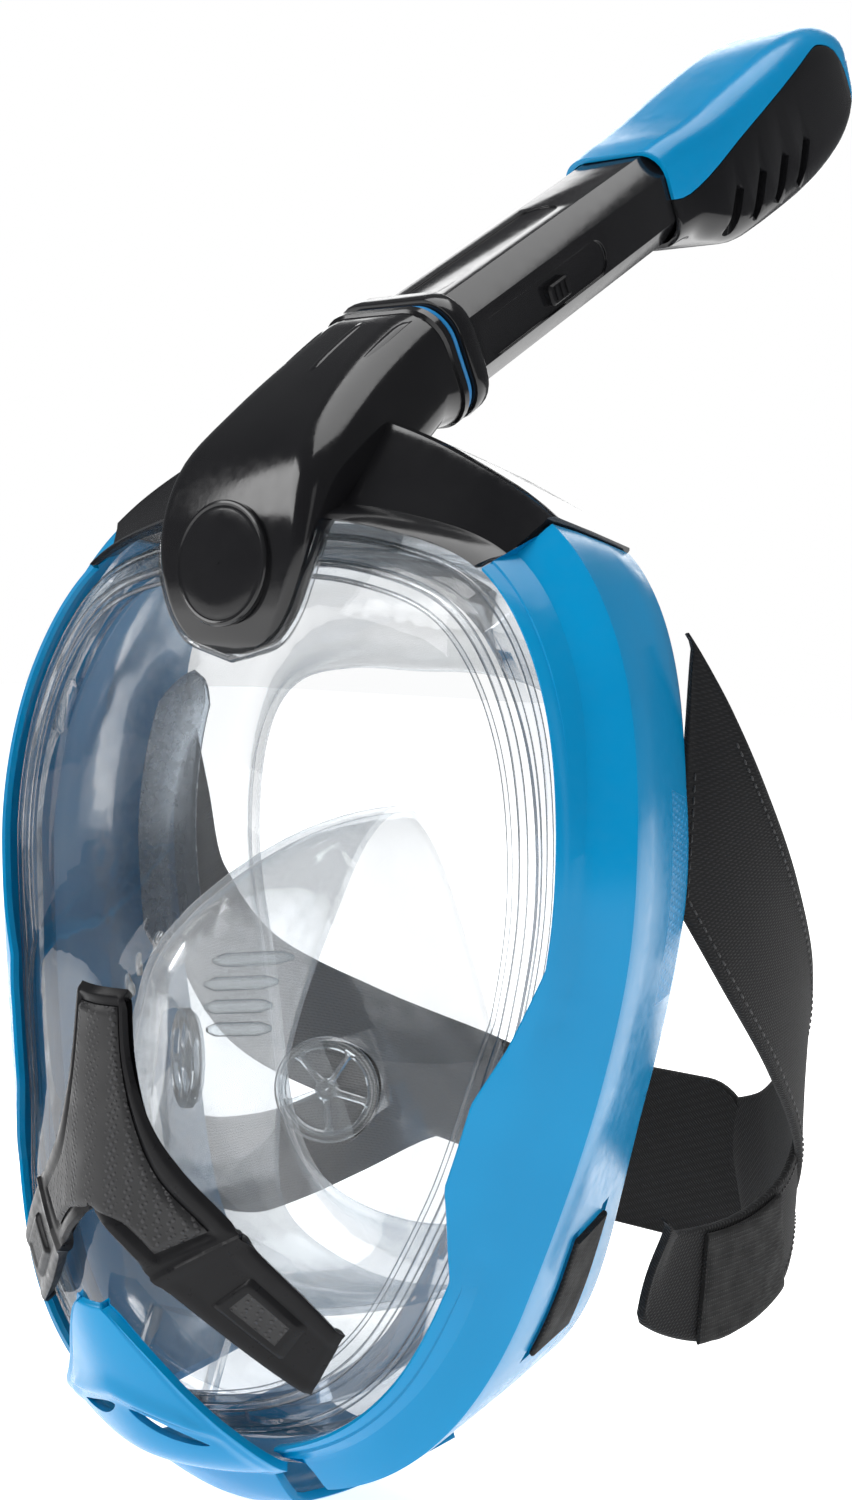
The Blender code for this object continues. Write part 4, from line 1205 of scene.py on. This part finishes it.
def strap_section(half, thick):
    """A closed strap section: rolled edges, a slight crown and a bound border."""
    top = [(-half, 0.0), (-half + 0.25, 0.62 * thick), (-half + 0.9, 0.92 * thick),
           (-half + 2.2, 1.0 * thick), (-half + 3.0, 0.90 * thick), (-half * 0.5, 0.98 * thick),
           (0.0, 1.02 * thick)]
    top += [(-u, v) for u, v in reversed(top[:-1])]
    bottom = [(u, -v) for u, v in reversed(top[1:-1])]
    return top + bottom


def strap(name, route, width, mat, node, thick=STRAP_THICK, first=0.0, last=1.0, lift=0.0, narrow=1.0):
    """A band along a route; narrow is its share of the width where it starts."""
    rings = []
    count = 90
    side = facing(route)
    for k in range(count + 1):
        t = first + (last - first) * k / count
        point, across, out, front = strap_spread(route, t, width, side)
        share = (front + width / 2) / width
        share *= narrow + (1 - narrow) * smooth(0.0, 0.4, t)
        pinch = 1 - 0.25 * max(0.0, 1 - 30 * min(k, count - k) / count)
        rings.append([point + across * ((u + width / 2) * share - width / 2) + out * (lift + v * pinch)
                      for u, v in strap_section(width / 2, thick / 2)])
    piece(name, loft(rings), mat, smooth=60, replaces=[node])


def seam_point(route, t, width, side, line):
    """A place on a row of stitches, near the front edge for line 1 and the rear edge for -1."""
    point, across, out, front = strap_spread(route, t, width, side)
    offset = front - SEAM_INSET if line > 0 else SEAM_INSET - width / 2
    return point + across * offset + out * SEAM_LIFT, across, out


def stitches(name, route, width, node, first, pitch=0.012):
    """Rows of thread along a strap's edges, as short raised stitches."""
    bm = bmesh.new()
    side = facing(route)
    circle = [(0.32 * math.cos(a), 0.28 * math.sin(a)) for a in (math.tau * m / 6 for m in range(6))]
    for line in (-1, 1):
        t = first
        while t < 0.97:
            start, across, out = seam_point(route, t, width, side, line)
            stop = seam_point(route, min(t + pitch * 0.62, 1), width, side, line)[0]
            rings = []
            for f, swell in ((0.0, 0.3), (0.2, 0.9), (0.5, 1.0), (0.8, 0.9), (1.0, 0.3)):
                middle = start.lerp(stop, f)
                rings.append([middle + across * (swell * u) + out * (swell * v) for u, v in circle])
            loft(rings, bm=bm)
            t += pitch
    piece(name, bm, THREAD, smooth=60, replaces=[node])


def make_harness():
    for name, route in (("left", UPPER_ARM_LEFT), ("right", UPPER_ARM_RIGHT)):
        node = f"upper_strap_{name}"
        strap(f"upper_strap_band_{name}", route, UPPER_WIDTH, FABRIC, node, first=0.05)
        stitches(f"upper_strap_thread_{name}", route, UPPER_WIDTH, node, first=0.2)
    for name, route in (("left", LOWER_ARM), ("right", on_side(-1, LOWER_ARM))):
        node = f"lower_strap_{name}"
        strap(f"lower_strap_band_{name}", route, LOWER_WIDTH, FABRIC, node, narrow=0.62)
        stitches(f"lower_strap_thread_{name}", route, LOWER_WIDTH, node, 0.45, pitch=0.018)
        strap(f"lower_strap_tab_{name}", route, LOWER_WIDTH - 3, HOOKS, node, thick=1.6, first=0.30,
              last=0.62, lift=2.2)
    px, py, pz = PAD_MIDDLE
    rings = []
    for y, grow in PAD_SECTIONS:
        section = rounded(40 + grow, 26 + grow, 16 + grow * 0.6, 10)
        rings.append([(px + x, py + y, pz + z) for x, z in section])
    pad = piece("back_pad_cushion", loft(rings), FABRIC, smooth=60,
                replaces=["back_pad"])
    start, end = SLOT_TURNS
    for name, side in SIDES:
        rings = []
        for k in range(31):
            turn = start + 0.003 + (end - start - 0.006) * k / 30
            rings.append(on_side(side, [side_point(turn, -1.2 + v + 0.5 * (u / 6.3) ** 2, -20.2 + u)
                                        for u, v in rounded(6.3, 0.8, 0.7, 4)]))
        piece(f"slot_webbing_{name}", loft(rings), HOOKS, smooth=50,
              replaces=[f"strap_loop_{name}"])


# ---------------------------------------------------------------- camera, light and floor

CAMERA_PLACE = (0.36497, -0.43191, 0.07108)
CAMERA_RIGHT = (0.76578, 0.64214, 0.03500)
CAMERA_UP = (-0.06080, 0.01812, 0.99799)
CAMERA_LENS = 49.81
FLOOR_Z = -0.158


def make_camera():
    data = bpy.data.cameras.new("camera")
    data.lens = CAMERA_LENS
    data.sensor_width = 36.0
    data.clip_start = 0.01
    data.clip_end = 50.0
    obj = bpy.data.objects.new("camera", data)
    right = Vector(CAMERA_RIGHT).normalized()
    up = Vector(CAMERA_UP)
    up = (up - right * up.dot(right)).normalized()
    back = right.cross(up)
    rows = [[right[k], up[k], back[k], CAMERA_PLACE[k]] for k in range(3)] + [[0, 0, 0, 1]]
    obj.matrix_world = Matrix(rows)
    bpy.context.scene.collection.objects.link(obj)
    bpy.context.scene.camera = obj


def soft_light(name, place, target, size, power):
    data = bpy.data.lights.new(name, "AREA")
    data.shape = "RECTANGLE"
    data.size, data.size_y = size
    data.energy = power
    obj = bpy.data.objects.new(name, data)
    way = Vector(place) - Vector(target)
    obj.matrix_world = Matrix.Translation(place) @ way.to_track_quat("Z", "Y").to_matrix().to_4x4()
    bpy.context.scene.collection.objects.link(obj)


def make_world():
    """White paper to the camera, a dim studio in reflections, and even light on everything else."""
    world = bpy.data.worlds.new("studio")
    bpy.context.scene.world = world
    world.use_nodes = True
    tree = world.node_tree
    rays = tree.nodes.new("ShaderNodeLightPath")

    def backdrop(color, strength, shade=None):
        shade = shade or tree.nodes.new("ShaderNodeBackground")
        shade.inputs["Color"].default_value = (*color, 1)
        shade.inputs["Strength"].default_value = strength
        return shade.outputs[0]

    def mix(share, first, second):
        made = tree.nodes.new("ShaderNodeMixShader")
        for socket, source in zip(made.inputs, (share, first, second)):
            tree.links.new(source, socket)
        return made.outputs[0]

    even = backdrop((1, 1, 1), 0.40, tree.nodes["Background"])
    reflected = mix(rays.outputs["Is Glossy Ray"], even, backdrop((0.95, 0.97, 1.0), 0.14))
    shown = mix(rays.outputs["Is Camera Ray"], reflected, backdrop((1, 1, 1), 1.0))
    tree.links.new(shown, tree.nodes["World Output"].inputs["Surface"])


def make_floor():
    n = Nodes("floor_paper")
    n.set(Base_Color=n.mix(n.noise(60, 3.0), (0.94, 0.94, 0.94, 1), (0.96, 0.96, 0.96, 1)))
    n.set(Roughness=1.0, Specular_IOR_Level=0.0)
    n.set(Emission_Color=(1, 1, 1, 1), Emission_Strength=0.8)
    bm = bmesh.new()
    bmesh.ops.create_grid(bm, x_segments=8, y_segments=8, size=6.0)
    bm.transform(Matrix.Translation((0, 0, FLOOR_Z)))
    obj = piece("floor", bm, n.mat, body=None)


def make_lights():
    soft_light("key", (-0.9, -1.3, 1.1), (0, 0, 0.02), (1.0, 1.0), 21)
    soft_light("side", (1.6, -0.5, 0.5), (0, 0, 0.02), (0.4, 1.4), 1.5)
    soft_light("top", (0.1, 0.2, 1.7), (0, 0, 0), (1.2, 1.2), 16)
    soft_light("rear", (-1.0, 1.5, 0.9), (0, 0, 0.05), (1.2, 1.0), 9)


# ---------------------------------------------------------------- carried-over CAD nodes

def carry(name, mat):
    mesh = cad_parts[name].data
    mesh.materials.clear()
    mesh.materials.append(mat)
    mesh.shade_smooth()
    mesh.set_sharp_from_angle(angle=math.radians(35))


def main():
    bpy.context.scene.view_settings.view_transform = "Standard"
    bpy.context.scene.cycles.transparent_max_bounces = 32
    make_camera()
    make_world()
    make_lights()
    make_floor()
    make_lens()
    make_frames()
    make_crown()
    make_gasket()
    make_tube()
    make_latch()
    make_head()
    make_trim()
    make_chin_cap()
    make_skirt()
    make_pocket()
    make_valves()
    make_harness()
    for name in ("float", "float_seat"):
        carry(name, INNER_BLACK)
    carry("float_seal", SKIN)


main()
